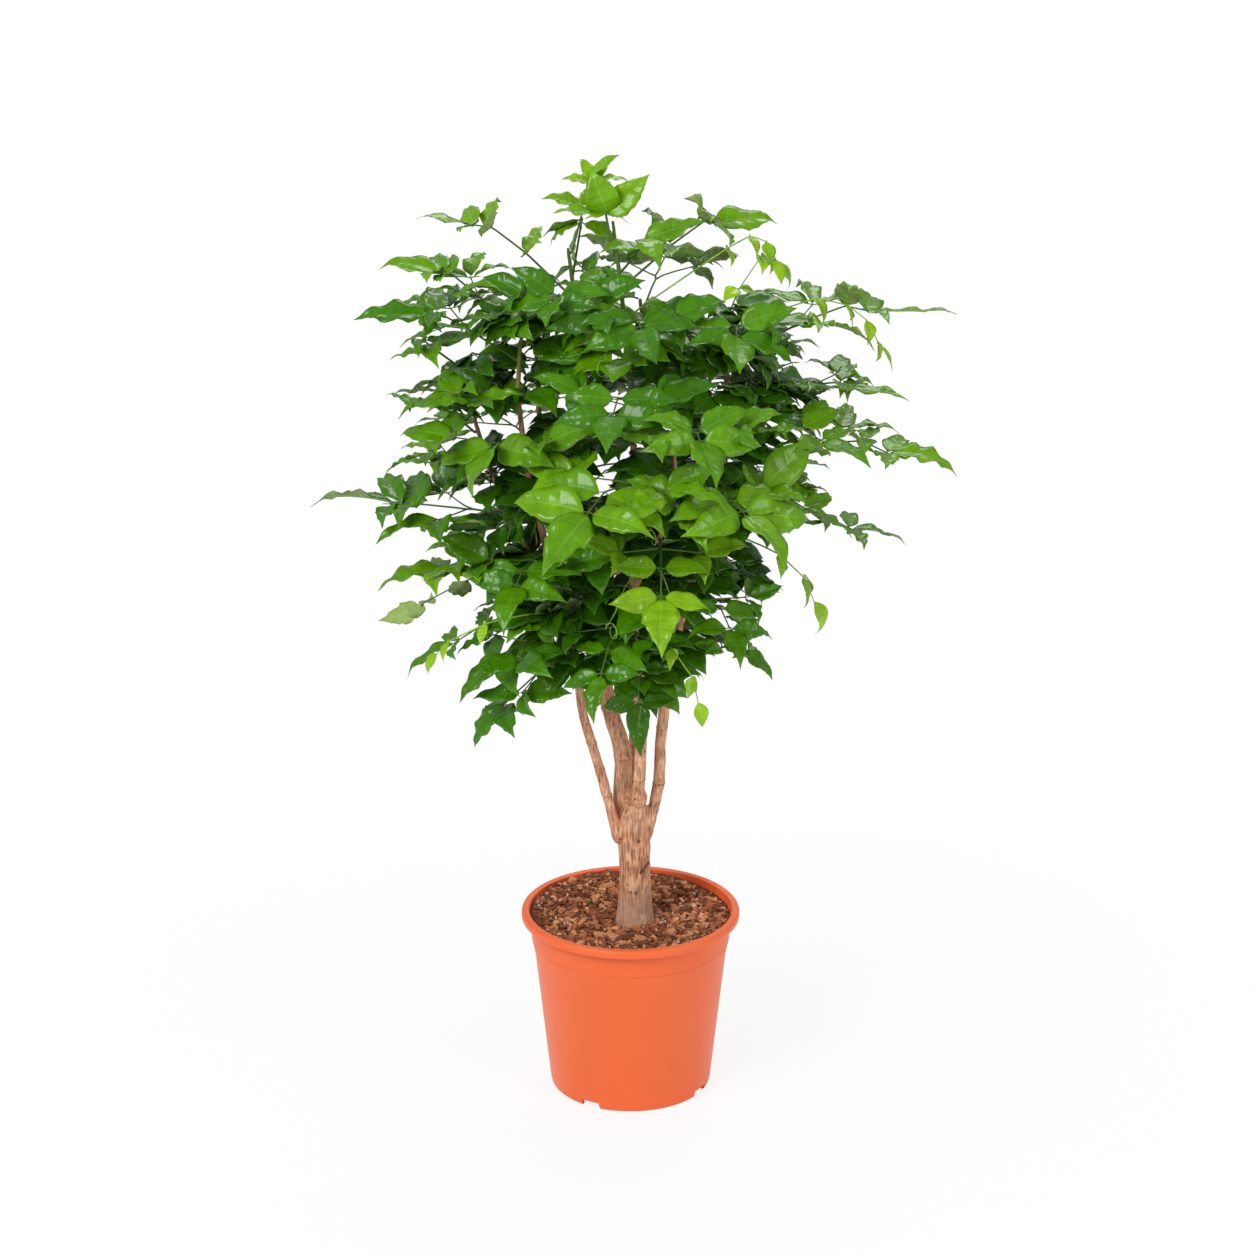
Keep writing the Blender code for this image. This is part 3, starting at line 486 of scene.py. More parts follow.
def pot_rings(settings):
    """The pot's outline, from under the floor, out and up to the rim, and down inside to the floor."""
    lip = POT_HEIGHT - settings.rim_depth
    step = POT_HEIGHT - settings.band_depth
    wall = settings.wall
    foot_inside = settings.foot - FOOT_RING
    rings = [(DRAIN_RADIUS, settings.floor_lift), (foot_inside - FOOT_SLOPE, settings.floor_lift)]
    rings += [(foot_inside, 0.0)]
    rings += quarter((settings.foot - FOOT_ROUND, FOOT_ROUND), (FOOT_ROUND, FOOT_ROUND), -90, 0)
    rings += [(pot_radius(settings, FOOT_LINE), FOOT_LINE)]
    rings += [(pot_radius(settings, FOOT_LINE) + LINE_DEPTH, FOOT_LINE + LINE_DEPTH)]
    under_band = settings.band - settings.step
    rings += [(settings.shoulder, settings.shoulder_height), (under_band, step - BAND_ROUND)]
    rings += [(under_band - BAND_GROOVE, step - 0.2 * MM)]
    rings += quarter((settings.band - BAND_ROUND, step + BAND_ROUND), (BAND_ROUND, BAND_ROUND), -60, 0, 4)
    rings += [(settings.neck, lip + 0.4 * MM), (RIM_RADIUS - 3.0 * MM, lip)]
    rings += quarter((RIM_RADIUS - RIM_UNDER_ROUND, lip + RIM_UNDER_ROUND),
                     (RIM_UNDER_ROUND, RIM_UNDER_ROUND), -80, 0, 4)
    rings += quarter((RIM_RADIUS - RIM_TOP_ROUND[0], POT_HEIGHT - RIM_TOP_ROUND[1]), RIM_TOP_ROUND, 0, 90, 7)
    inside = settings.rim_inside
    rings += quarter((inside + RIM_MOUTH_ROUND, POT_HEIGHT - 1.6 * MM),
                     (RIM_MOUTH_ROUND, RIM_MOUTH_ROUND), 90, 180, 4)
    rings += [(inside, lip + 2.0 * MM), (inside - 0.8 * MM, lip)]
    rings += [(settings.neck - wall, lip - 1.2 * MM)]
    rings += [(under_band - wall, step), (settings.shoulder - wall, settings.shoulder_height)]
    floor_top = settings.floor_lift + wall
    rings += [(pot_radius(settings, floor_top) - wall, floor_top), (DRAIN_RADIUS, floor_top)]
    return rings


def cut_away(body, cutter):
    """Cuts a cutter's shape out of a body and removes the cutter."""
    apply_modifier(body, "BOOLEAN", operation="DIFFERENCE", object=cutter, solver="EXACT")
    remove(cutter)


def block(name, size, place):
    """A block of this size, with its place and turn applied."""
    deselect()
    bpy.ops.mesh.primitive_cube_add(size=1.0)
    made = bpy.context.object
    made.name = name
    made.data.transform(place @ Matrix.Diagonal((*size, 1.0)))
    return made


def around(azimuth, radius, height=0.0):
    """The place on a circle about the pot's axis, turned to face outwards."""
    return Matrix.Rotation(math.radians(azimuth), 4, "Z") @ Matrix.Translation((radius, 0.0, height))


class PLANT_OT_pot(bpy.types.Operator):
    """Model the moulded pot with its rolled rim, stepped band, notched foot and drain holes"""

    bl_idname = "plant.pot"
    bl_label = "Pot"

    def execute(self, context):
        settings = context.scene.plant_pot
        pot = extruded_rings("moulded_pot", pot_rings(settings), POT_SEGMENTS)
        for azimuth in NOTCH_AZIMUTHS:
            notch = block("notch", NOTCH_SIZE, around(azimuth, settings.foot))
            slant = around(azimuth, 0).to_3x3() @ Vector((0, NOTCH_SLANT, 0))
            for vertex in notch.data.vertices:
                if vertex.co.z > 0 and (around(-azimuth, 0) @ vertex.co).y > 0:
                    vertex.co -= slant
            cut_away(pot, notch)
        holes = [(DRAIN_CIRCLE, 360 * i / DRAIN_COUNT) for i in range(DRAIN_COUNT)] + [(0.0, 0.0)]
        for radius, azimuth in holes:
            deselect()
            bpy.ops.mesh.primitive_cylinder_add(
                vertices=DRAIN_SIDES, radius=DRAIN_RADIUS + WELD, depth=DRAIN_CUT,
                location=around(azimuth, radius, settings.floor_lift).to_translation())
            cut_away(pot, bpy.context.object)
        middle = (settings.rim_inside + RIM_RADIUS) / 2 - NICK_INSET
        for azimuth in NICK_AZIMUTHS:
            cut_away(pot, block("nick", NICK_SIZE, around(azimuth, middle, POT_HEIGHT)))
        pot.data.materials.append(polypropylene(settings.colour))
        finish(pot, "pot", "pot", angle=SHADING_EDGE)
        return {"FINISHED"}


# Shapes that are modelled once and copied

class Shape:
    """One modelled shape, read so that copies of it can be set out."""

    def __init__(self, obj):
        mesh = obj.data
        self.points = np.array([v.co for v in mesh.vertices], float)
        self.faces = [tuple(face.vertices) for face in mesh.polygons]
        self.kinds = [face.material_index for face in mesh.polygons]
        self.map = np.zeros((len(mesh.loops), 2))
        if mesh.uv_layers:
            self.map = np.array([loop.uv for loop in mesh.uv_layers[0].data], float)
        remove(obj)


class Heap:
    """Gathers copies of shapes, each with its own points, into the mesh of one piece."""

    def __init__(self):
        self.points, self.faces, self.kinds, self.maps, self.tints = [], [], [], [], []
        self.count = 0

    def put(self, shape, points, tint):
        """Adds a copy of a shape with its points moved to these."""
        self.faces += [tuple(corner + self.count for corner in face) for face in shape.faces]
        self.points.append(points)
        self.kinds += shape.kinds
        self.maps.append(shape.map)
        self.tints += [tint] * len(points)
        self.count += len(points)

    def place(self, shape, matrix, tint):
        """Adds a copy of a shape, placed and turned by a matrix."""
        turned = shape.points @ np.array(matrix.to_3x3()).T + np.array(matrix.translation)
        self.put(shape, turned, tint)

    def piece(self, name, materials):
        """The gathered copies as one mesh piece, with their map and tints."""
        mesh = bpy.data.meshes.new(name)
        mesh.from_pydata(np.concatenate(self.points).tolist(), [], self.faces)
        mesh.uv_layers.new(name="blade").data.foreach_set("uv", np.concatenate(self.maps).ravel())
        mesh.attributes.new("tint", "FLOAT", "POINT").data.foreach_set("value", self.tints)
        mesh.polygons.foreach_set("material_index", self.kinds)
        for material in materials:
            mesh.materials.append(material)
        return link_object(name, mesh)


def rods(name, lines, sides, material):
    """Round rods along lines of (point, radius), as one mesh piece with filled ends."""
    curve = bpy.data.curves.new(name, "CURVE")
    curve.dimensions = "3D"
    curve.bevel_depth = 1.0
    curve.bevel_resolution = sides
    curve.use_fill_caps = True
    for line in lines:
        spline = curve.splines.new("POLY")
        spline.points.add(len(line) - 1)
        for knot, (point, radius) in zip(spline.points, line):
            knot.co = (*point, 1.0)
            knot.radius = radius
    guide = link_object(name, curve)
    activate(guide)
    bpy.ops.object.convert(target="MESH")
    made = bpy.context.object
    made.data.materials.clear()
    made.data.materials.append(material)
    return made


# Potting mix

SOIL_SEGMENTS = 150
SOIL_RINGS = 36
SOIL_GAP = 0.5 * MM
TRUNK_PLACE = Vector((0.005, 0.0))
TRUNK_CLEAR = 21 * MM
CHIP_KINDS = (
    # share, length, width, thickness
    (0.05, 17 * MM, 8.0 * MM, 3.6 * MM),
    (0.27, 10 * MM, 5.6 * MM, 2.8 * MM),
    (0.34, 6.5 * MM, 4.2 * MM, 2.2 * MM),
    (0.16, 19 * MM, 2.4 * MM, 1.7 * MM),
    (0.18, 4 * MM, 3.0 * MM, 1.8 * MM),
)
CHIP_EDGE = 38
CHIP_TILT = 0.42
GRAIN_TILT = 1.5
SCRAP_PLACES = ((-0.045, 0.030), (0.065, 0.031))
SCRAP_TILT = 0.5
SCRAP_LIFT = 5.6 * MM
# Clumps and crumbs of the mix: width and height in mm, and a place in the noise of their own
SOIL_LUMPS = ((19, 2.2, 3.1), (6, 1.1, 7.7))


def soil_height(settings, x, y):
    """Height of the mix: clumpy, mounded towards the back left and heaped up along the wall."""
    reach = settings.neck_inside
    rise = smoothstep(-0.15, 1.0, (0.88 * y - 0.42 * x) / reach)
    edge = smoothstep(0.62, 1.0, math.hypot(x, y) / reach)
    clumps, crumbs = (noise.noise((x * per_metre(width), y * per_metre(width), own)) * height * MM
                      for width, height, own in SOIL_LUMPS)
    heaped = settings.mound * rise * (1 - 0.5 * edge) + settings.edge_rise * edge
    return settings.level + heaped + clumps + crumbs


def chip_shape(seed, cuts):
    """A flake of bark: a block, cut up, roughened, narrowed to its ends and bent."""
    deselect()
    bpy.ops.mesh.primitive_cube_add(size=1.0)
    chip = bpy.context.object
    with editing():
        bpy.ops.mesh.subdivide(number_cuts=cuts)
        bpy.ops.transform.vertex_random(offset=0.13, seed=seed)
    for vertex in chip.data.vertices:
        co = vertex.co
        narrow = 1 - 0.75 * abs(co.x) ** 1.5 * (0.6 + 0.4 * math.sin(seed))
        co.y *= narrow
        co.z = co.z * (0.75 + 0.25 * narrow) + 0.25 * math.sin(2.5 * co.x + seed)
    return Shape(chip)


def grain_shape(seed):
    """A rounded, slightly dented grain."""
    deselect()
    bpy.ops.mesh.primitive_ico_sphere_add(subdivisions=1, radius=0.5)
    with editing():
        bpy.ops.transform.vertex_random(offset=0.08, seed=seed)
    return Shape(bpy.context.object)


def spot_on_soil(settings, clear):
    """A random place on the mix, clear of the wall and the trunk."""
    while True:
        radius = (settings.neck_inside - clear) * math.sqrt(random.random())
        angle = random.uniform(0, TURN)
        spot = Vector((radius * math.cos(angle), radius * math.sin(angle)))
        if (spot - TRUNK_PLACE).length > TRUNK_CLEAR:
            return spot


def lying(settings, spot, lift, tilt):
    """The place and turn of a thing that lies on the mix at a spot, tilted up to so many radians."""
    place = Matrix.Translation((*spot, soil_height(settings, *spot) + lift))
    yaw = Matrix.Rotation(random.uniform(0, TURN), 4, "Z")
    pitch = Matrix.Rotation(random.uniform(-tilt, tilt), 4, "Y")
    roll = Matrix.Rotation(random.uniform(-tilt, tilt), 4, "X")
    return place @ yaw @ pitch @ roll


def fibre_line(settings, spot):
    """A wandering coir fibre that starts at a spot and stays near the surface."""
    heading = random.uniform(0, TURN)
    bend = random.uniform(-0.5, 0.5)
    radius = random.uniform(0.3, 0.8) * MM
    lift = random.uniform(1.0, 4.0) * MM
    points = []
    for _ in range(random.randint(4, 8)):
        inside = min(1.0, (settings.neck_inside - 3 * MM) / max(spot.length, WELD))
        spot = spot * inside
        height = soil_height(settings, *spot) + lift + random.uniform(-0.7, 0.7) * MM
        points.append(((*spot, height), radius))
        heading += bend + random.uniform(-0.3, 0.3)
        spot = spot + Vector((math.cos(heading), math.sin(heading))) * 3.4 * MM
    return points


class PLANT_OT_soil(bpy.types.Operator):
    """Model the potting mix: a crumbly surface, bark chips, coir fibres, pale grains and green scraps"""

    bl_idname = "plant.soil"
    bl_label = "Potting mix"

    def execute(self, context):
        settings = context.scene.plant_soil
        pot = context.scene.plant_pot
        slack = pot.wall + SOIL_GAP
        bottom = pot.floor_lift + slack
        lip = POT_HEIGHT - pot.rim_depth
        rings = [(4 * MM, bottom), (pot_radius(pot, bottom) - slack, bottom),
                 (pot.shoulder - slack, pot.shoulder_height),
                 (pot.band - pot.step - slack, POT_HEIGHT - pot.band_depth),
                 (pot.neck - slack, lip - 1.4 * MM), (settings.neck_inside, POT_HEIGHT)]
        for number in range(1, SOIL_RINGS):
            share = 1 - number / SOIL_RINGS
            rings.append((settings.neck_inside * share, POT_HEIGHT))
        mix = extruded_rings("potting_mix", rings, SOIL_SEGMENTS)
        for vertex in mix.data.vertices:
            if vertex.co.z > POT_HEIGHT - 1 * MM:
                outermost = vertex.co.xy.length > settings.neck_inside - 1 * MM
                vertex.co.z = max(soil_height(settings, vertex.co.x, vertex.co.y),
                                  lip + 0.3 * MM if outermost else 0)
        mix.data.materials.append(potting_mix())
        finish(mix, "root_ball", "root_ball")
        self.scatter_chips(settings)
        self.scatter_fibres(settings)
        self.scatter_grains(settings)
        return {"FINISHED"}

    def scatter_chips(self, settings):
        models = [chip_shape(seed, 2) for seed in range(1, 8)]
        random.seed(CHIP_SEED)
        heap = Heap()
        shares = [kind[0] for kind in CHIP_KINDS]
        for _ in range(settings.chips):
            _, length, width, thickness = random.choices(CHIP_KINDS, shares)[0]
            length *= random.uniform(0.7, 1.3)
            spot = spot_on_soil(settings, 0.55 * length)
            lift = thickness * random.uniform(-0.1, 0.9)
            place = lying(settings, spot, lift, CHIP_TILT)
            size = Matrix.Diagonal((length, width * random.uniform(0.7, 1.3),
                                    thickness * random.uniform(0.7, 1.2), 1))
            heap.place(random.choice(models), place @ size, random.random())
        chips = heap.piece("bark_chips", [broken_bark("composted_bark", "#6E3C20", "#B4683E", "#E8A878")])
        finish(chips, "root_ball", angle=CHIP_EDGE)

    def scatter_fibres(self, settings):
        random.seed(FIBRE_SEED)
        lines = [fibre_line(settings, spot_on_soil(settings, 4 * MM)) for _ in range(settings.fibres)]
        fibres = rods("coir_fibres", lines, 0, broken_bark("coir", "#8A4F2A", "#C27C4C", "#EDB688"))
        finish(fibres, "root_ball")

    def scatter_grains(self, settings):
        model = grain_shape(5)
        random.seed(GRAIN_SEED)
        heap = Heap()
        for _ in range(settings.grains):
            spot = spot_on_soil(settings, 3 * MM)
            size = random.uniform(1.6, 3.6) * MM
            place = lying(settings, spot, random.uniform(1.0, 4.0) * MM, GRAIN_TILT)
            shape = Matrix.Diagonal((size * random.uniform(1.0, 1.9), size, 0.6 * size, 1))
            heap.place(model, place @ shape, random.random())
        pale = broken_bark("pale_wood_grains", "#B98C68", "#DCC0A2", "#F1E6D8")
        grains = heap.piece("pale_grains", [pale])
        finish(grains, "root_ball")
        scraps = Heap()
        for spot in SCRAP_PLACES:
            place = lying(settings, Vector(spot), SCRAP_LIFT, SCRAP_TILT)
            scraps.place(model, place @ Matrix.Diagonal((6 * MM, 4.5 * MM, 3 * MM, 1)), 0.6)
        green = broken_bark("leaf_scrap", "#2E5A14", "#4C8A22", "#77AE3C")
        finish(scraps.piece("green_scraps", [green]), "leaf")


# Trunk and stems

# Swellings that stems grow from: x, y, z and the half sizes there
KNOBS = (
    (-0.0140, -0.0075, 0.2960, 0.0072, 0.0080, 0.0130),
    (0.0185, -0.0040, 0.2985, 0.0072, 0.0085, 0.0135),
    (0.0085, -0.0165, 0.3410, 0.0100, 0.0085, 0.0125),
    (0.0065, 0.0180, 0.3000, 0.0090, 0.0090, 0.0120),
    (-0.0077, 0.0060, 0.3330, 0.0112, 0.0108, 0.0120),
)
# Roots that flare at the foot of the trunk: azimuth in degrees and length
ROOTS = ((-150, 0.020), (-95, 0.016), (-35, 0.019), (20, 0.016), (80, 0.018), (140, 0.017))
# Collars that ring a stem: x, y, z and the stem's radius there
COLLARS = (
    (-0.0085, 0.006, 0.3790, 0.0095), (-0.0225, 0.008, 0.4330, 0.0086), (0.0325, 0.000, 0.3510, 0.0062),
    (0.0322, 0.000, 0.4150, 0.0060), (-0.0255, -0.011, 0.3420, 0.0055), (-0.0410, -0.015, 0.4030, 0.0052),
    (0.0100, -0.0175, 0.3620, 0.0066), (0.0110, -0.019, 0.4300, 0.0062), (0.0375, 0.000, 0.4480, 0.0060),
)
# Dark scars and hollows: x, y, z and radius
SCARS = (
    (0.027, -0.0055, 0.3505, 0.0011), (0.031, -0.0064, 0.3508, 0.0012), (0.035, -0.005, 0.3505, 0.0011),
    (-0.029, -0.016, 0.361, 0.0013), (0.005, -0.0245, 0.341, 0.0013), (-0.001, -0.018, 0.333, 0.0019),
    (0.015, -0.022, 0.395, 0.0014), (-0.020, -0.001, 0.448, 0.0012), (0.009, -0.016, 0.289, 0.0018),
    (-0.004, -0.016, 0.238, 0.0016), (0.0, -0.0175, 0.229, 0.002), (0.006, -0.018, 0.2285, 0.0022),
    (0.0122, -0.0162, 0.2518, 0.0024), (0.0145, -0.015, 0.2538, 0.0026), (0.0168, -0.0132, 0.256, 0.0026),
    (0.019, -0.0108, 0.2582, 0.0026), (0.0208, -0.008, 0.2598, 0.0024), (-0.011, -0.013, 0.29, 0.0014),
    (0.036, -0.005, 0.432, 0.0012), (-0.0455, -0.0225, 0.426, 0.0012),
)
SCAR_DEPTH = 0.45 * MM
GREEN_FROM = 0.66
GREEN_TO = 0.90
AGED_BELOW = 0.205
AGED_NONE = 0.245
FATTEN = 0.45 * MM
DETAIL_TOP = 0.53
ROOT_TOP = 0.203
ROOT_FALL = 0.022
# Heights between which old bark gives way to young, and thin stems start to lose their relief
YOUNG_BARK = (0.26, 0.42)
THIN_STEMS = (0.55, 0.75)
# Features of the bark, in mm across and along the stems
RIDGE_SIZE = (3.4, 24)
GRAIN_SIZE = (1.9, 11)
LUMP_SIZE = (17, 17)


def wood_blocks():
    """The frame's trunk and stems, a little fuller so that they meet, with knobs and roots."""
    parts = []
    for node in WOOD_NODES:
        shape = joined_shape(node)
        shape.normal_update()
        for vertex in shape.verts:
            vertex.co += vertex.normal * FATTEN
        mesh = bpy.data.meshes.new(node)
        shape.to_mesh(mesh)
        shape.free()
        parts.append(link_object("wood_" + node, mesh))
    for x, y, z, *half in KNOBS:
        deselect()
        bpy.ops.mesh.primitive_ico_sphere_add(subdivisions=3, radius=1.0, location=(x, y, z), scale=half)
        parts.append(bpy.context.object)
    for azimuth, reach in ROOTS:
        line = [(around(azimuth, reach * share, ROOT_TOP - ROOT_FALL * share).to_translation()
                 + Vector((*TRUNK_PLACE, 0)), (8.5 - 4.5 * share) * MM) for share in (0.2, 0.6, 1.0, 1.3)]
        parts.append(rods("root", [line], 2, None))
    return parts


def eased(low, high, values):
    """Smooth steps from 0 at low to 1 at high, for many values."""
    share = np.clip((values - low) / (high - low), 0, 1)
    return share * share * (3 - 2 * share)


def noise_at(points, across, along, seed=0.0):
    """Smooth noise whose features are so many millimetres across and along the stems."""
    scale = np.array([per_metre(across), per_metre(across), per_metre(along)])
    return np.array([noise.noise(point) for point in (points * scale + seed).tolist()])


def roughen_bark(wood, settings):
    """Fissures, collars and scars in the bark, and the marks that colour them: dark scars, and painted shade
    in the fissures and under each collar.
    """
    mesh = wood.data
    points = np.empty((len(mesh.vertices), 3))
    mesh.vertices.foreach_get("co", points.ravel())
    normals = np.empty((len(mesh.vertices), 3), np.float32)
    mesh.vertex_normals.foreach_get("vector", normals.ravel())
    height = points[:, 2]
    old = 1 - eased(*YOUNG_BARK, height)
    ridges = 0.5 - 1.6 * np.abs(noise_at(points, *RIDGE_SIZE))
    lumps = noise_at(points, *LUMP_SIZE, 5.0)
    depth = settings.fissures * (0.30 + 0.70 * old)
    grain = noise_at(points, *GRAIN_SIZE, 9.0)
    push = depth * (0.8 * ridges + 0.45 * grain) + (0.4 + 0.55 * old) * MM * lumps
    scar_and_shade = np.zeros(len(points))
    for x, y, z, radius in SCARS:
        away = np.linalg.norm(points - (x, y, z), axis=1)
        scar_and_shade = np.maximum(scar_and_shade, 1 - eased(0.55 * radius, 1.5 * radius, away))
    for x, y, z, radius in COLLARS:
        near = np.hypot(points[:, 0] - x, points[:, 1] - y) < radius + 4 * MM
        wavy = height - z + 0.6 * MM * np.sin(9 * np.arctan2(points[:, 1] - y, points[:, 0] - x))
        push += near * 0.7 * MM * np.exp(-(wavy / (1.5 * MM)) ** 2)
        # Painted shade: a dark band in the groove just under each collar's ridge
        scar_and_shade = np.maximum(scar_and_shade, near * 0.55 * np.exp(-((wavy + 1.4 * MM) / (0.8 * MM)) ** 2))
    thin = 1 - 0.65 * eased(*THIN_STEMS, height)
    points += normals * ((push - 0.6 * FATTEN) * thin - SCAR_DEPTH * scar_and_shade)[:, None]
    mesh.vertices.foreach_set("co", points.ravel())
    # Painted shade: the fissures darkened, more on the old bark
    hollow = 0.55 * (1 - eased(-0.35, 0.10, ridges)) * (0.25 + 0.75 * old)
    marks = np.ones((len(points), 4))
    marks[:, 0] = np.maximum(scar_and_shade, hollow)
    marks[:, 1] = eased(GREEN_FROM, GREEN_TO, height)
    marks[:, 2] = 0.6 * (1 - eased(AGED_BELOW, AGED_NONE, height + 8 * MM * lumps))
    mesh.attributes.new("bark_marks", "FLOAT_COLOR", "POINT").data.foreach_set("color", marks.ravel())


class PLANT_OT_wood(bpy.types.Operator):
    """Grow the trunk and the stems together into one barked body"""

    bl_idname = "plant.wood"
    bl_label = "Trunk and stems"

    def execute(self, context):
        settings = context.scene.plant_wood
        parts = wood_blocks()
        activate(*parts)
        bpy.ops.object.join()
        wood = bpy.context.object
        wood.name = "barked_wood"
        wood.data.materials.clear()
        apply_modifier(wood, "REMESH", mode="VOXEL", voxel_size=settings.voxel, adaptivity=0.0)
        with editing():
            bpy.ops.mesh.vertices_smooth(factor=0.5, repeat=5)
        roughen_bark(wood, settings)
        upper = wood.vertex_groups.new(name="upper")
        upper.add([v.index for v in wood.data.vertices if v.co.z > DETAIL_TOP], 1.0, "REPLACE")
        apply_modifier(wood, "DECIMATE", ratio=settings.kept, vertex_group="upper")
        wood.vertex_groups.clear()
        wood.data.materials.append(stem_bark())
        finish(wood, "bark", *WOOD_NODES)
        return {"FINISHED"}


# Leaflet blades

FULL_GRID = (6, 18)
PLAIN_GRID = (4, 12)
BLADE_THICKNESS = 0.0055
# Half outlines of a blade of length 1: (place along the blade, share of its greatest half width)
BROAD = ((0, 0.10), (0.025, 0.42), (0.07, 0.68), (0.15, 0.90), (0.25, 1.0), (0.36, 0.99), (0.48, 0.90),
         (0.59, 0.76), (0.69, 0.60), (0.77, 0.45), (0.84, 0.30), (0.90, 0.16), (0.95, 0.08), (1.0, 0.012))
OVAL = ((0, 0.08), (0.03, 0.32), (0.10, 0.66), (0.19, 0.90), (0.29, 1.0), (0.40, 0.98), (0.52, 0.87),
        (0.63, 0.71), (0.73, 0.54), (0.81, 0.37), (0.88, 0.20), (0.94, 0.09), (1.0, 0.012))
SLIM = ((0, 0.07), (0.05, 0.36), (0.13, 0.68), (0.23, 0.91), (0.34, 1.0), (0.46, 0.94), (0.58, 0.78),
        (0.69, 0.60), (0.78, 0.43), (0.86, 0.25), (0.93, 0.11), (1.0, 0.012))
ROUND = ((0, 0.10), (0.03, 0.44), (0.09, 0.74), (0.18, 0.93), (0.32, 1.0), (0.46, 0.97), (0.60, 0.86),
         (0.72, 0.68), (0.82, 0.46), (0.90, 0.24), (0.95, 0.11), (1.0, 0.012))
# Kinds of grown blade: outline, tooth size, waves along the margin, wave size, fold at the midrib
GROWN_KINDS = (
    (BROAD, 0.030, 1.8, 0.032, 0.20),
    (BROAD, 0.045, 3.2, 0.024, 0.12),
    (OVAL, 0.038, 2.8, 0.032, 0.26),
    (OVAL, 0.050, 1.6, 0.034, 0.16),
    (SLIM, 0.065, 3.4, 0.034, 0.24),
    (OVAL, 0.015, 1.4, 0.030, 0.10),
)
INNER_KINDS = (
    (ROUND, 0.02, 1.3, 0.030, 0.16),
    (ROUND, 0.04, 2.2, 0.026, 0.22),
    (OVAL, 0.03, 1.6, 0.030, 0.12),
    (ROUND, 0.01, 1.6, 0.034, 0.10),
    (SLIM, 0.05, 2.4, 0.034, 0.2),
    (BROAD, 0.03, 1.5, 0.03, 0.18),
)
YOUNG_KINDS = ((OVAL, 0.012, 1.0, 0.014, 0.20), (SLIM, 0.022, 1.3, 0.018, 0.26))
# How far side veins sweep forwards, how deep a blade sinks at them, and how far its tip drips
VEIN_SWEEP = 0.13
QUILT_DEPTH = 0.018
DRIP_TIP = 0.06


def blade_shape(kind, grid, seed):
    """A blade of length 1 and greatest width 1 along +Y, its upper side +Z.

    Its rows follow the side veins, which sweep forwards. It sinks at each vein and swells between two
    veins, and each vein ends in a blunt tooth that points forwards.
    """
    outline, tooth, waves, wave_size, fold = kind
    columns, rows = grid
    random.seed(seed)
    deselect()
    bpy.ops.mesh.primitive_grid_add(x_subdivisions=columns, y_subdivisions=rows, size=1.0, calc_uvs=True)
    blade = bpy.context.object
    for _ in range(2):
        blade.data.materials.append(None)
    lean = random.uniform(-0.05, 0.05)
    phases = (random.uniform(0, TURN), random.uniform(0, TURN))
    uneven = [[random.uniform(0.4, 1.5) for _ in range(rows + 1)] for _ in range(2)]
    for vertex in blade.data.vertices:
        across, row = 2 * vertex.co.x, round((vertex.co.y + 0.5) * rows)
        side, aside = int(across > 0), abs(across)
        along = (row / rows) ** 0.93
        sweep = VEIN_SWEEP * math.sin(math.pi * along) * (1 - 0.4 * along)
        edge = along + sweep
        turn = TURN * VEIN_PAIRS * row / rows
        on_vein = math.cos(turn)
        point = on_vein - 0.35 * math.sin(turn)
        toothed = smoothstep(0.14, 0.40, edge) * smoothstep(1.0, 0.86, edge)
        jag = tooth * uneven[side][row] * point * toothed
        half = 0.5 * read_line(outline, edge) * (1 + jag)
        inset = math.sin(math.pi * min(aside, 1.0) * 0.86)
        y = along + sweep * aside ** 1.2
        middle = math.sin(math.pi * y)
        wave = 1.4 * wave_size * math.sin(TURN * waves * y + phases[side]) * aside ** 2 * middle
        quilt = -QUILT_DEPTH * on_vein * inset * middle
        roof = fold * half * aside - 0.55 * half * aside ** 2.6 * fold
        drip = -DRIP_TIP * smoothstep(0.78, 1.0, y) ** 2
        vertex.co = (across * half + lean * math.sin(math.pi * y), y, wave + quilt + roof + drip)
    apply_modifier(blade, "SOLIDIFY", thickness=BLADE_THICKNESS, offset=-1.0, material_offset=1,
                   material_offset_rim=0)
    return Shape(blade)


def blade_shapes(kinds, grid, first_seed):
    """The shapes of several kinds of blade, each with a random seed of its own."""
    return [blade_shape(kind, grid, seed) for seed, kind in enumerate(kinds, start=first_seed)]


class Blade:
    """Where a leaflet lies: its base, tip, sideways and upward directions, its width and its joint."""

    def __init__(self, base, tip, aside, width, joint=None):
        self.base, self.tip = Vector(base), Vector(tip)
        self.joint = Vector(joint or base)
        self.length = (self.tip - self.base).length
        self.along = (self.tip - self.base).normalized()
        self.aside = (aside - self.along * aside.dot(self.along)).normalized()
        self.up = self.aside.cross(self.along)
        self.width = width


def standing(poses, blades):
    """The blades of a leaf at the crown's top as they stand: each one's way, facing, length and width."""
    stood = []
    upwards = sorted(blades, key=lambda blade: (blade.base.z, blade.base.x))
    for blade, (way, facing, length, width) in zip(upwards, poses):
        along = Vector(way).normalized()
        stood.append(Blade(blade.base, blade.base + along * length * MM, along.cross(Vector(facing)),
                           width * MM, blade.base))
    return stood


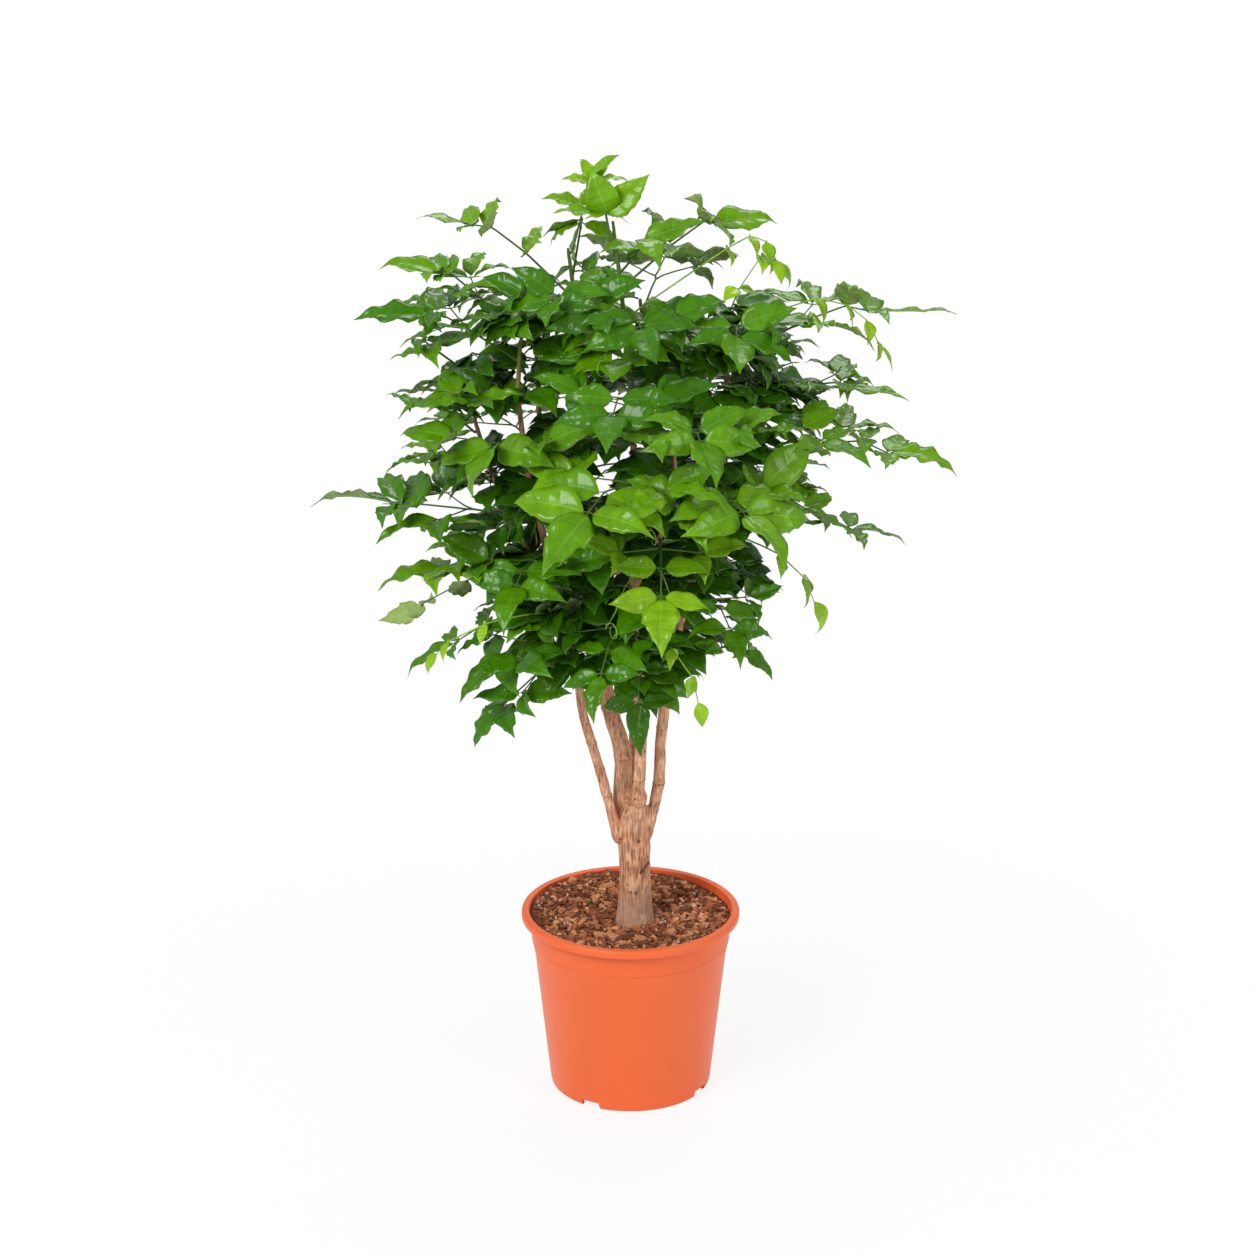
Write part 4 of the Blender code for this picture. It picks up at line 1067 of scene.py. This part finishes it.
def hanging(number, blades):
    """A leaf's blades as they hang: on short stalks of their own, opened out and facing out of the crown."""
    heading = sum((blade.along for blade in blades), Vector()).normalized()
    end_growth, side_growth = LEAF_GROWTH.get(number, USUAL_GROWTH)
    end = max(blades, key=lambda blade: blade.along.dot(heading))
    far, turned = sideways(blades), number in TURNED_LEAVES
    lift = SIDE_LIFT * far
    hung = []
    for blade in blades:
        off = math.atan2(heading.dot(blade.aside), heading.dot(blade.along))
        opened = Matrix.Rotation(OPENING * math.sin(off), 3, blade.up) @ Matrix.Rotation(lift, 3, blade.aside)
        along, aside = opened @ blade.along, opened @ blade.aside
        if blade is not end and not turned:
            along = (along - LEVELLING * far * along.z * UP).normalized()
            aside = (aside - aside.dot(along) * along).normalized()
        outward = (blade.base - CROWN_AXIS).xy.to_3d().normalized()
        leaning = (1 - 0.8 * far) * (1 - 0.7 * smoothstep(0.0, 0.6, outward.y))
        facing = TURNED_FACING if turned else OUTWARD_FACING * leaning * outward + UP
        roll = math.atan2(facing.dot(aside), facing.dot(aside.cross(along)))
        if not turned:
            roll = (ROLL + (FLAT_ROLL - ROLL) * far) * roll + random.uniform(-0.3, 0.3)
            roll = min(max(roll, -MOST_ROLL), MOST_ROLL)
        aside = Matrix.Rotation(roll, 3, along) @ aside * (-1 if turned else 1)
        growth = end_growth if blade is end else side_growth
        base = blade.base + along * (0 if blade is end else OWN_STALK) * blade.length
        tip = base + along * growth * blade.length
        hung.append(Blade(base, tip, aside, blade.width * growth, blade.base))
    return hung


def sideways(blades):
    """How far a leaf lies to the left or right of the crown, from 0 to 1."""
    return smoothstep(0.10, 0.20, abs(sum(blade.base.x for blade in blades)) / len(blades))


def bent_points(shape, blade, arch, droop, twist, spread):
    """A blade shape's points, set out on a blade: arched along it, drooping and twisting to its tip."""
    x = shape.points[:, 0] * blade.width * spread
    y = shape.points[:, 1]
    z = shape.points[:, 2] * blade.length
    turn = twist * y
    turned_x = x * np.cos(turn) - z * np.sin(turn)
    turned_z = x * np.sin(turn) + z * np.cos(turn)
    turned_z += blade.length * (arch * 4 * y * (1 - y) - droop * np.clip(y - 0.45, 0, None) ** 2)
    parts = ((turned_x, blade.aside), (y * blade.length, blade.along), (turned_z, blade.up))
    return np.array(blade.base) + sum(np.outer(part, np.array(axis)) for part, axis in parts)


# Reading the frame's leaves

SHORTEST_RIB = 3.5 * MM
SHEET_THICKNESS = 1.2 * MM
THICKNESS_SLACK = 0.03 * MM
STALK_SMOOTHING = 2
STALK_TAPER = 0.5


def fan(centre):
    """The base's left and right ends, the right side, the tip and the left side about a blade's centre."""
    following = {}
    for face in centre.link_faces:
        corners = list(face.verts)
        start = corners.index(centre)
        following[corners[(start + 1) % 3]] = corners[(start + 2) % 3]
    left = min(following, key=lambda corner: (following[corner].co - corner.co).length)
    ring = [left]
    while len(ring) < 5:
        ring.append(following[ring[-1]])
    return ring


def read_leaf(node):
    """A frame leaf's joined mesh, the middle points of its blades on both sides, and its blades."""
    shape = joined_shape(node)
    shape.normal_update()
    centres = [v for v in shape.verts if min(e.calc_length() for e in v.link_edges) > SHORTEST_RIB]
    tree = KDTree(len(centres))
    for number, centre in enumerate(centres):
        tree.insert(centre.co, number)
    tree.balance()
    blades, done = [], set()
    for number, centre in enumerate(centres):
        if number in done:
            continue
        twin = next(i for _, i, _ in tree.find_n(centre.co, 6)
                    if i != number and i not in done and centres[i].normal.dot(centre.normal) < 0)
        done |= {number, twin}
        outward = centre.co - CROWN_AXIS
        facing = UP + 0.75 * Vector((outward.x, outward.y, 0)).normalized()
        upper = max((centre, centres[twin]), key=lambda v: v.normal.dot(facing))
        left, right, right_side, tip, left_side = (v.co - 0.5 * SHEET_THICKNESS * upper.normal
                                                   for v in fan(upper))
        blades.append(Blade((left + right) / 2, tip, right_side - left_side,
                            (right_side - left_side).length))
    return shape, centres, blades


def read_stalk(shape, centres, blades, wood, thickness):
    """The stalk lines of a frame leaf, read from the ribbon between its blades."""
    across = {edge for edge in shape.edges if abs(edge.calc_length() - SHEET_THICKNESS) < THICKNESS_SLACK}
    rim = {face for edge in across for face in edge.link_faces}
    fans = {face for centre in centres for face in centre.link_faces}
    sheet = largest_patch([face for face in shape.faces if face not in rim])
    ribbon = [face for face in shape.faces if face in sheet and face not in fans]
    joined = {}
    for face in ribbon:
        inner = [edge for edge in face.edges if all(other in sheet for other in edge.link_faces)]
        for edge in inner:
            joined.setdefault(edge, set()).update(other for other in inner if other is not edge)
    ends = {edge for edge in joined if any(face in fans for face in edge.link_faces)}
    start = stalk_foot(ribbon, joined, ends, wood)
    return leaf_lines(joined, start, ends, blades, wood, thickness)


def largest_patch(faces):
    """The largest set of faces that join edge to edge."""
    left, best = set(faces), set()
    for seed in faces:
        if seed not in left:
            continue
        queue, patch = [seed], {seed}
        left.discard(seed)
        while queue:
            face = queue.pop()
            near = {other for edge in face.edges for other in edge.link_faces} & left
            left -= near
            patch |= near
            queue += near
        if len(patch) > len(best):
            best = patch
    return best


def stalk_foot(ribbon, joined, ends, wood):
    """The first joint and the free edge at the end of the ribbon that lies nearest to the wood."""
    loose = []
    for face in ribbon:
        inner = [edge for edge in face.edges if edge in joined]
        if len(inner) == 1 and inner[0] not in ends:
            outer = min((edge for edge in face.edges if edge is not inner[0]),
                        key=lambda edge: edge.calc_length())
            loose.append((inner[0], outer))
    return min(loose, key=lambda pair: wood.find_nearest(middle(pair[1]))[3])


def middle(edge):
    return (edge.verts[0].co + edge.verts[1].co) / 2


def leaf_lines(joined, start, ends, blades, wood, thickness):
    """Stalk lines of (point, radius), the longest first, each one starting where it leaves a longer one."""
    first, foot = start
    parent, queue = {first: None}, [first]
    for edge in queue:
        for other in sorted(joined[edge], key=lambda e: e.index):
            if other not in parent:
                parent[other] = edge
                if other not in ends:
                    queue.append(other)
    lift = {edge: sum((face.normal for face in edge.link_faces), Vector()).normalized() for edge in parent}
    place = {edge: middle(edge) - 0.5 * SHEET_THICKNESS * lift[edge] for edge in parent}
    for _ in range(STALK_SMOOTHING):
        place = smoothed(place, parent, ends)
    paths = []
    for end in (edge for edge in parent if edge in ends):
        path, edge = [], end
        while edge is not None:
            path.append(edge)
            edge = parent[edge]
        paths.append(path[::-1])
    paths.sort(key=lambda path: (-len(path), path[-1].index))
    radius, lines = {}, []
    for path in paths:
        fresh = next(i for i, edge in enumerate(path) if edge not in radius)
        path = path[max(fresh - 1, 0):]
        thick = 0.8 * radius[path[0]] if fresh else thickness
        thin = thickness * STALK_TAPER
        for number, edge in enumerate(path):
            if edge not in radius:
                radius[edge] = thick + (min(thin, thick) - thick) * number / (len(path) - 1 or 1)
        line = [(place[edge], radius[edge]) for edge in path]
        if not fresh:
            base = middle(foot)
            line = [(wood.find_nearest(base)[0], 1.6 * thickness), (base, 1.15 * thickness)] + line
        tip = min(blades, key=lambda blade: (blade.joint - place[path[-1]]).length)
        line.append((tip.base + tip.along * 0.14 * tip.length - tip.up * 0.9 * MM, 0.35 * thickness))
        lines.append(line)
    return lines


def smoothed(place, parent, ends):
    """Every joint of a stalk drawn halfway to the middle of its neighbours, except its ends."""
    near = {edge: [] for edge in place}
    for edge, before in parent.items():
        if before is not None:
            near[edge].append(place[before])
            near[before].append(place[edge])
    return {edge: point if edge in ends or len(near[edge]) < 2
            else (point + sum(near[edge], Vector()) / len(near[edge])) / 2
            for edge, point in place.items()}


# Compound leaves

STALK_RADIUS = 1.25 * MM
YOUNG_STALK_RADIUS = 0.95 * MM
YOUNG_TINT = 0.88
YOUNG_LOOKS = (1.05, 0.08, 0.5)
# The tables of leaves go by a leaf's number in the frame
# Leaves whose green is set one by one, from 0 for the oldest to 1 for the newest, partly as painted light,
# for how brightly each leaf is lit
LEAF_TINTS = {
    1: 0.76, 2: 0.80, 3: 0.60, 4: 0.60, 5: 0.66, 6: 0.74, 7: 0.58, 15: 0.62, 16: 0.42, 17: 0.34, 18: 0.32,
    19: 0.34, 20: 0.28, 21: 0.42, 22: 0.52, 23: 0.34, 24: 0.48, 25: 0.60, 26: 0.66, 27: 0.74, 28: 0.38,
    29: 0.34, 30: 0.20, 31: 0.62, 32: 0.56, 33: 0.58, 34: 0.62, 35: 0.60, 36: 0.52, 37: 0.38, 38: 0.38,
}
TOP_LEAF = 0.93
# How much larger or smaller than the frame's a leaf's end blade and its side blades grew
USUAL_GROWTH = (1.0, 1.02)
LEAF_GROWTH = {
    6: (1.15, 1.15), 12: (0.9, 0.8), 17: (0.9, 0.9), 22: (1.05, 1.0), 25: (1.05, 0.95), 26: (1.05, 0.95),
    27: (0.95, 0.85), 29: (0.86, 0.78), 30: (0.86, 0.64), 37: (0.8, 0.78), 38: (0.72, 0.66), 42: (0.85, 0.8),
}
# Leaves that stand up at the top, and the way, facing, length and width in mm of their blades, lowest first
STANDING_LEAVES = {
    1: (((-0.35, -0.15, 0.92), (-0.1, -1.0, 0.3), 50, 40), ((-0.98, -0.10, 0.08), (0.1, -0.4, 0.9), 56, 27),
        ((0.72, -0.10, 0.68), (-0.4, -0.9, 0.35), 58, 30)),
    2: (((-0.93, -0.10, 0.30), (0.1, -0.55, 0.85), 44, 20), ((0.25, 0.75, 0.60), (0, -0.8, 0.6), 34, 17),
        ((-0.92, 0.10, 0.12), (-0.1, -0.4, 0.9), 30, 15), ((0.97, -0.10, 0.12), (0.1, -0.35, 0.9), 42, 15),
        ((-0.45, 0.60, 0.65), (-0.2, -0.7, 0.7), 30, 15), ((0.35, -0.60, 0.72), (0, -0.5, 0.85), 26, 13),
        ((0.66, 0.10, 0.74), (-0.5, -0.6, 0.6), 36, 16)),
    3: (((-0.80, -0.55, 0.10), (-0.1, -0.4, 0.9), 48, 26), ((0.25, -0.85, -0.25), (0.1, -0.7, 0.8), 56, 32),
        ((0.90, -0.20, 0.34), (-0.25, -0.75, 0.6), 66, 36)),
}
# Leaves that hang with their paler side outwards
TURNED_LEAVES = (15,)
TURNED_FACING = Vector((-0.1, -0.9, 0.75))
# How far side leaflets open out, how far blades roll to face out of the crown, and their own short stalks
OPENING = 0.70
SIDE_LIFT = 0.22
LEVELLING = 0.65
OUTWARD_FACING = 1.25
ROLL = 0.6
FLAT_ROLL = 0.95
MOST_ROLL = 1.1
OWN_STALK = 0.06


def wood_tree():
    """The frame's trunk and stems, to find what is nearest on them."""
    points, faces = [], []
    for node in WOOD_NODES:
        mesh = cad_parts[node].data
        faces += [tuple(i + len(points) for i in face.vertices) for face in mesh.polygons]
        points += [vertex.co.copy() for vertex in mesh.vertices]
    return BVHTree.FromPolygons(points, faces)


def leaf_tint(number, blades):
    """How fresh a leaf's green is: old in the lower crown, yellower at the top, fresher in front and at the
    sides; partly the leaves' age and partly painted light, where light falls on them and shines through the
    top leaves.
    """
    if number in LEAF_TINTS:
        return LEAF_TINTS[number]
    centre = sum((blade.base for blade in blades), Vector()) / len(blades)
    top_youth_and_light = 0.30 * smoothstep(0.86, TOP_LEAF + 0.04, centre.z)
    front_youth_and_light = 0.14 * smoothstep(0.05, -0.22, centre.y)
    # Painted light, with the leaves' age: paler at the sides as well as at the top and in front
    aside = 0.14 * sideways(blades)
    return min(max(0.38 + top_youth_and_light + front_youth_and_light + aside + random.uniform(-0.22, 0.20), 0.18), 0.95)


def build_leaf(name, slot, blades, lines, shapes, tint, materials, looks, nodes=()):
    """One compound leaf: its blades, bent and tinted one by one, joined with its round stalk.

    Its looks are how far its blades spread, arch and droop.
    """
    spread, arch, droop = looks
    heap = Heap()
    for blade in blades:
        shape = random.choice(shapes)
        points = bent_points(
            shape, blade, arch * random.uniform(-0.3, 1.5), droop * random.uniform(-0.3, 1.8),
            random.uniform(-0.5, 0.5), spread * random.uniform(0.82, 1.15))
        heap.put(shape, points, min(max(tint + random.uniform(-0.09, 0.09), 0.0), 1.0))
    leaf = heap.piece(name, materials[:2])
    stalk = rods(name + "_stalk", lines, 1, materials[2])
    activate(leaf, stalk)
    bpy.ops.object.join()
    finish(leaf, slot, *nodes)


class PLANT_OT_leaves(bpy.types.Operator):
    """Model every grown compound leaf of the frame as toothed, quilted blades on a round stalk"""

    bl_idname = "plant.leaves"
    bl_label = "Compound leaves"

    def execute(self, context):
        settings = context.scene.plant_leaf
        shapes = blade_shapes(GROWN_KINDS * 2, FULL_GRID, GROWN_BLADE_SEED)
        materials = (leaf_cuticle(settings), leaf_underside(), leaf_stalk("leaf_stalk", "#44661A"))
        wood = wood_tree()
        for number, node in enumerate(LEAF_NODES, start=1):
            random.seed(LEAF_SEED + number)
            shape, centres, blades = read_leaf(node)
            poses = STANDING_LEAVES.get(number)
            blades = standing(poses, blades) if poses else hanging(number, blades)
            lines = read_stalk(shape, centres, blades, wood, STALK_RADIUS)
            aside = sideways(blades)
            looks = (0.96 - 0.22 * aside, 0.07, 0.26 - 0.14 * aside)
            build_leaf("compound_" + node, "leaf", blades, lines, shapes, leaf_tint(number, blades),
                       materials, looks, [node])
            shape.free()
        return {"FINISHED"}


class PLANT_OT_young_shoots(bpy.types.Operator):
    """Model the thin new shoots with their small, pale, almost untoothed blades"""

    bl_idname = "plant.young_shoots"
    bl_label = "Young shoots"

    def execute(self, context):
        shapes = blade_shapes(YOUNG_KINDS * 2, FULL_GRID, YOUNG_BLADE_SEED)
        materials = (bpy.data.materials["leaf_cuticle"], bpy.data.materials["leaf_underside"],
                     leaf_stalk("young_stalk", "#86B432"))
        wood = wood_tree()
        for number, node in enumerate(SHOOT_NODES, start=1):
            random.seed(SHOOT_SEED + number)
            shape, centres, blades = read_leaf(node)
            lines = read_stalk(shape, centres, blades, wood, YOUNG_STALK_RADIUS)
            build_leaf("new_" + node, "young_leaf", blades, lines, shapes, YOUNG_TINT, materials,
                       YOUNG_LOOKS, [node])
            shape.free()
        return {"FINISHED"}


# Curling stalks that lost their leaflets: where each one curls, its curl's radius and its turns
CURLS = (
    (-0.075, -0.12, 0.702, 0.011, 1.4), (-0.052, -0.115, 0.69, 0.008, 1.2), (0.02, -0.15, 0.668, 0.01, 0.9),
    (0.075, -0.12, 0.7, 0.012, 0.8), (-0.02, -0.12, 0.56, 0.01, 1.1), (0.045, -0.11, 0.575, 0.009, 0.9),
    (-0.1, -0.05, 0.64, 0.009, 1.2), (0.11, -0.06, 0.76, 0.01, 0.8), (-0.03, -0.1, 0.83, 0.01, 0.9),
)
CURL_POINTS = 10
CURL_FOOT_POINTS = 6
CURL_REACH = Vector((0, 0.03, 0.02))


class PLANT_OT_curls(bpy.types.Operator):
    """Model the bare, curling leaf stalks that hang in the crown"""

    bl_idname = "plant.curls"
    bl_label = "Curling stalks"

    def execute(self, context):
        wood = wood_tree()
        lines = []
        for number, (x, y, z, radius, turns) in enumerate(CURLS):
            random.seed(CURL_SEED + number)
            centre = Vector((x, y, z))
            foot = wood.find_nearest(centre + CURL_REACH)[0]
            start = centre + Vector((0, radius, 0.2 * radius))
            rise = Vector((0, 0, 0.25 * (start - foot).length))
            line = [(foot.lerp(start, i / CURL_FOOT_POINTS) + rise * math.sin(math.pi * i / CURL_FOOT_POINTS),
                     (1.0 - 0.05 * i) * MM) for i in range(CURL_FOOT_POINTS)]
            tilt = Matrix.Rotation(random.uniform(-0.9, 0.9), 3, "Z")
            steps = round(CURL_POINTS * turns)
            for i in range(steps + 1):
                angle = TURN * turns * i / steps
                reach = radius * (1 - 0.35 * i / steps)
                spot = tilt @ Vector((0.4 * radius * i / steps, reach * math.cos(angle),
                                      reach * math.sin(angle) + 0.2 * radius))
                line.append((centre + spot, (0.7 - 0.35 * i / steps) * MM))
            lines.append(line)
        curls = rods("curling_stalks", lines, 1, leaf_stalk("curl_stalk", "#7FA43A"))
        finish(curls, "young_leaf")
        return {"FINISHED"}


# Leaves inside the crown, which only fill it

# Greatest reach of an inner leaf from the crown's axis: (height, reach)
INNER_REACH = ((0.49, 0.06), (0.52, 0.08), (0.58, 0.12), (0.66, 0.16), (0.80, 0.17), (0.87, 0.10),
               (0.89, 0.08))
INNER_SPAN = INNER_REACH[-1][0] - INNER_REACH[0][0]
INNER_BLADE = (34 * MM, 60 * MM)
INNER_STALK = (50, 150)
INNER_LOOKS = (1.2, 0.06, 0.25)
# How steeply an inner blade hangs in each pose that is tried for it
INNER_TILTS = (0.15, 0.45, -0.15, 0.8, -0.5, 1.2)
INNER_PLACES = (0.36, 0.62, 0.88)
INNER_CHOICES = 10
GOLDEN_TURN = math.radians(137.5)
KITE_WIDTH = 0.52
KITE_MIDDLE = 0.42


def kite(blade):
    """The four corners of the flat outline that a blade's place is judged by."""
    half = 0.5 * blade.width * blade.aside
    wide = blade.base + blade.along * (KITE_MIDDLE * blade.length)
    near = blade.base + blade.along * (0.06 * blade.length)
    return [near, wide + half, blade.tip, wide - half]


class Crowd:
    """Flat outlines of the blades that are already in the crown, which a new one's outline has to miss."""

    def __init__(self, blades):
        self.points, self.faces, self.tree = [], [], None
        for blade in blades:
            self.join(blade)

    def join(self, blade):
        start = len(self.points)
        self.points += kite(blade)
        self.faces.append((start, start + 1, start + 2, start + 3))
        self.tree = None

    def misses(self, blade):
        if self.tree is None:
            self.tree = BVHTree.FromPolygons(self.points, self.faces)
        return not self.tree.overlap(BVHTree.FromPolygons(kite(blade), [(0, 1, 2, 3)]))


def free_blade(crowd, base, heading, size):
    """A blade from a stalk's side that misses the crowd, in the first of several poses, or none."""
    outward = (base - CROWN_AXIS).xy.to_3d().normalized()
    for tilt in INNER_TILTS:
        along = (heading - UP * tilt).normalized()
        facing = UP + 0.7 * outward + Vector((random.uniform(-0.3, 0.3), random.uniform(-0.3, 0.3), 0))
        blade = Blade(base, base + along * size, along.cross(facing), KITE_WIDTH * size)
        if crowd.misses(blade):
            crowd.join(blade)
            return blade
    return None


def inner_leaf(crowd, foot, heading, reach):
    """The blades and stalk lines of one inner leaf that grows from foot along heading."""
    rise, sag = random.uniform(0.15, 0.5), random.uniform(0.3, 0.8)

    def spine(share):
        return foot + heading * reach * share + UP * reach * (rise * share - sag * share ** 2)

    blades, lines = [], []
    spine_line = [(spine(i / 8), (1.1 - 0.6 * i / 8) * MM) for i in range(9)]
    for share in INNER_PLACES:
        joint = spine(share)
        for side in (-1, 1):
            turn = Matrix.Rotation(side * random.uniform(0.8, 1.3), 3, "Z")
            away = turn @ heading
            base = joint + away * random.uniform(5, 10) * MM
            blade = free_blade(crowd, base, away, random.uniform(*INNER_BLADE))
            if blade:
                blades.append(blade)
                lines.append([(joint, 0.7 * MM), (base, 0.55 * MM),
                              (base + blade.along * 6 * MM - blade.up * MM, 0.3 * MM)])
    blade = free_blade(crowd, spine(1.0), heading, random.uniform(*INNER_BLADE))
    if blade:
        blades.append(blade)
    return blades, [spine_line] + lines


class PLANT_OT_inner_leaves(bpy.types.Operator):
    """Fill the crown between the frame's leaves with older leaves, in the room that is left"""

    bl_idname = "plant.inner_leaves"
    bl_label = "Inner leaves"

    def execute(self, context):
        settings = context.scene.plant_leaf
        shapes = blade_shapes(INNER_KINDS, PLAIN_GRID, INNER_BLADE_SEED)
        materials = [bpy.data.materials[name] for name in ("leaf_cuticle", "leaf_underside", "leaf_stalk")]
        crowd = Crowd([blade for node in LEAF_NODES + SHOOT_NODES for blade in read_leaf(node)[2]])
        feet = [(vertex.co.copy(), vertex.normal.copy()) for node in WOOD_NODES[1:]
                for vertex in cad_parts[node].data.vertices]
        for number in range(1, settings.inner + 1):
            random.seed(INNER_SEED + number)
            height = INNER_REACH[0][0] + (number - 0.5) / settings.inner * INNER_SPAN
            close = [pair for pair in feet if abs(pair[0].z - height) < 25 * MM]
            way = Matrix.Rotation(number * GOLDEN_TURN, 3, "Z") @ Vector((1, 0, 0))
            some = random.sample(close, min(INNER_CHOICES, len(close)))
            foot, _ = max(some, key=lambda pair: pair[1].dot(way))
            outward = (foot - CROWN_AXIS).xy.to_3d()
            heading = (way + 0.3 * outward.normalized()).normalized()
            limit = read_line(INNER_REACH, foot.z) - outward.length
            reach = min(random.uniform(*INNER_STALK) * MM, max(limit, 20 * MM))
            blades, lines = inner_leaf(crowd, foot, heading, reach)
            if blades:
                # Fresher towards the top of the crown and lighter at its foot: partly the leaves' age, and
                # partly painted light shining through the top leaves and lifting the shaded low ones
                tint = (random.uniform(0.05, 0.35) + 0.3 * smoothstep(0.76, 0.92, height)
                        + 0.12 * smoothstep(0.66, 0.54, height))
                build_leaf(f"inner_leaf_{number:03d}", "leaf", blades, lines, shapes, tint, materials,
                           INNER_LOOKS)
        return {"FINISHED"}


# Stage

CAMERA_PLACE = (0.0, -3.0, 1.5075)
CAMERA_DOWN = 18.08
CAMERA_FOCUS = 85.17
CAMERA_SHIFT = -0.0028
FLOOR_SIZE = 12.0
FLOOR_WHITE = "#F4F4F4"
WHITE = (1, 1, 1, 1)
LIT_PLACE = Vector((0, 0, 0.55))
# Soft lights: name, place, size and the setting that gives the power
LIGHTS = (
    ("key_light", (-1.5, -1.9, 2.3), (1.3, 1.3), "key"),
    ("fill_light", (2.1, -1.6, 1.5), (1.0, 1.6), "fill"),
    ("back_light", (0.3, 1.8, 2.6), (1.6, 1.0), "fill"),
)


def soft_light(name, place, size, power):
    """A rectangular soft light that looks at the middle of the plant."""
    light = bpy.data.lights.new(name, "AREA")
    light.shape = "RECTANGLE"
    light.size, light.size_y = size
    light.energy = power
    lamp = link_object(name, light)
    lamp.location = place
    lamp.rotation_euler = (LIT_PLACE - Vector(place)).to_track_quat("-Z", "Y").to_euler()


def seen_by(tree, *kinds):
    """1 for these kinds of rays and 0 for all others."""
    rays = add(tree, "LightPath")
    seen, *others = (rays.outputs[f"Is {kind} Ray"] for kind in kinds)
    for other in others:
        seen = add(tree, "Math", {0: seen, 1: other}, operation="MAXIMUM")
    return seen


def floor_material():
    """Matt white studio floor, which shows white to the camera and still takes the plant's shadow."""
    material, tree, shader = new_material("white_studio_floor")
    feed(shader, {"Base Color": FLOOR_WHITE, "Roughness": 0.9, "Specular IOR Level": 0.0})
    away = add(tree, "VectorMath", {0: add(tree, "TexCoord").outputs["Object"]}, operation="LENGTH")
    white = add(tree, "MapRange", {"Value": away.outputs["Value"], "From Min": 0.1, "From Max": 0.9,
                                   "To Min": 0.84, "To Max": 1.0})
    seen = seen_by(tree, "Camera", "Glossy", "Transmission")
    share = add(tree, "Math", {0: seen, 1: white}, operation="MULTIPLY")
    glow = add(tree, "Emission", {"Color": WHITE, "Strength": 1.0})
    mix = add(tree, "MixShader", {0: share, 1: shader, 2: glow})
    feed(next(node for node in tree.nodes if node.type == "OUTPUT_MATERIAL"), {"Surface": mix})
    return material


def white_surround(scene, strength):
    """An even soft surround that the camera sees as white."""
    world = bpy.data.worlds.new("white_surround")
    world.use_nodes = True
    scene.world = world
    tree = world.node_tree
    tree.nodes.clear()
    seen = seen_by(tree, "Camera", "Transmission")
    level = add(tree, "MapRange", {"Value": seen, "To Min": strength, "To Max": 1.0})
    add(tree, "OutputWorld", {"Surface": add(tree, "Background", {"Color": WHITE, "Strength": level})})


class PLANT_OT_stage(bpy.types.Operator):
    """Set the pale floor, the soft lights and the camera"""

    bl_idname = "plant.stage"
    bl_label = "Stage"

    def execute(self, context):
        scene = context.scene
        settings = scene.plant_stage
        deselect()
        bpy.ops.mesh.primitive_plane_add(size=FLOOR_SIZE)
        floor = bpy.context.object
        floor.name = "studio_floor"
        floor.data.materials.append(floor_material())
        for name, place, size, power in LIGHTS:
            soft_light(name, place, size, getattr(settings, power))
        white_surround(scene, settings.world)
        camera = bpy.data.cameras.new("camera")
        camera.lens = CAMERA_FOCUS
        camera.shift_x = CAMERA_SHIFT
        view = link_object("camera", camera)
        view.location = CAMERA_PLACE
        view.rotation_euler = (math.radians(90 - CAMERA_DOWN), 0, 0)
        scene.camera = view
        scene.view_settings.view_transform = "Standard"
        return {"FINISHED"}


# Add-on

SETTINGS = {
    "plant_pot": PotSettings, "plant_soil": SoilSettings, "plant_wood": WoodSettings,
    "plant_leaf": LeafSettings, "plant_stage": StageSettings,
}
OPERATORS = (PLANT_OT_stage, PLANT_OT_pot, PLANT_OT_soil, PLANT_OT_wood, PLANT_OT_leaves,
             PLANT_OT_young_shoots, PLANT_OT_curls, PLANT_OT_inner_leaves)


class PLANT_PT_panel(bpy.types.Panel):
    """The steps that model the plant, with their settings"""

    bl_idname = "PLANT_PT_panel"
    bl_label = "Potted china doll plant"
    bl_space_type = "VIEW_3D"
    bl_region_type = "UI"
    bl_category = "Plant"

    def draw(self, context):
        for operator in OPERATORS:
            self.layout.operator(operator.bl_idname)
        for name in SETTINGS:
            box = self.layout.box()
            for field in SETTINGS[name].__annotations__:
                box.prop(getattr(context.scene, name), field)


def register():
    for group in SETTINGS.values():
        bpy.utils.register_class(group)
    for operator in OPERATORS + (PLANT_PT_panel,):
        bpy.utils.register_class(operator)
    for name, group in SETTINGS.items():
        setattr(bpy.types.Scene, name, bpy.props.PointerProperty(type=group))


def unregister():
    for name in SETTINGS:
        delattr(bpy.types.Scene, name)
    for kind in (PLANT_PT_panel,) + OPERATORS[::-1] + tuple(SETTINGS.values()):
        bpy.utils.unregister_class(kind)


def main():
    register()
    for operator in OPERATORS:
        family, name = operator.bl_idname.split(".")
        getattr(getattr(bpy.ops, family), name)()


if __name__ == "__main__":
    main()
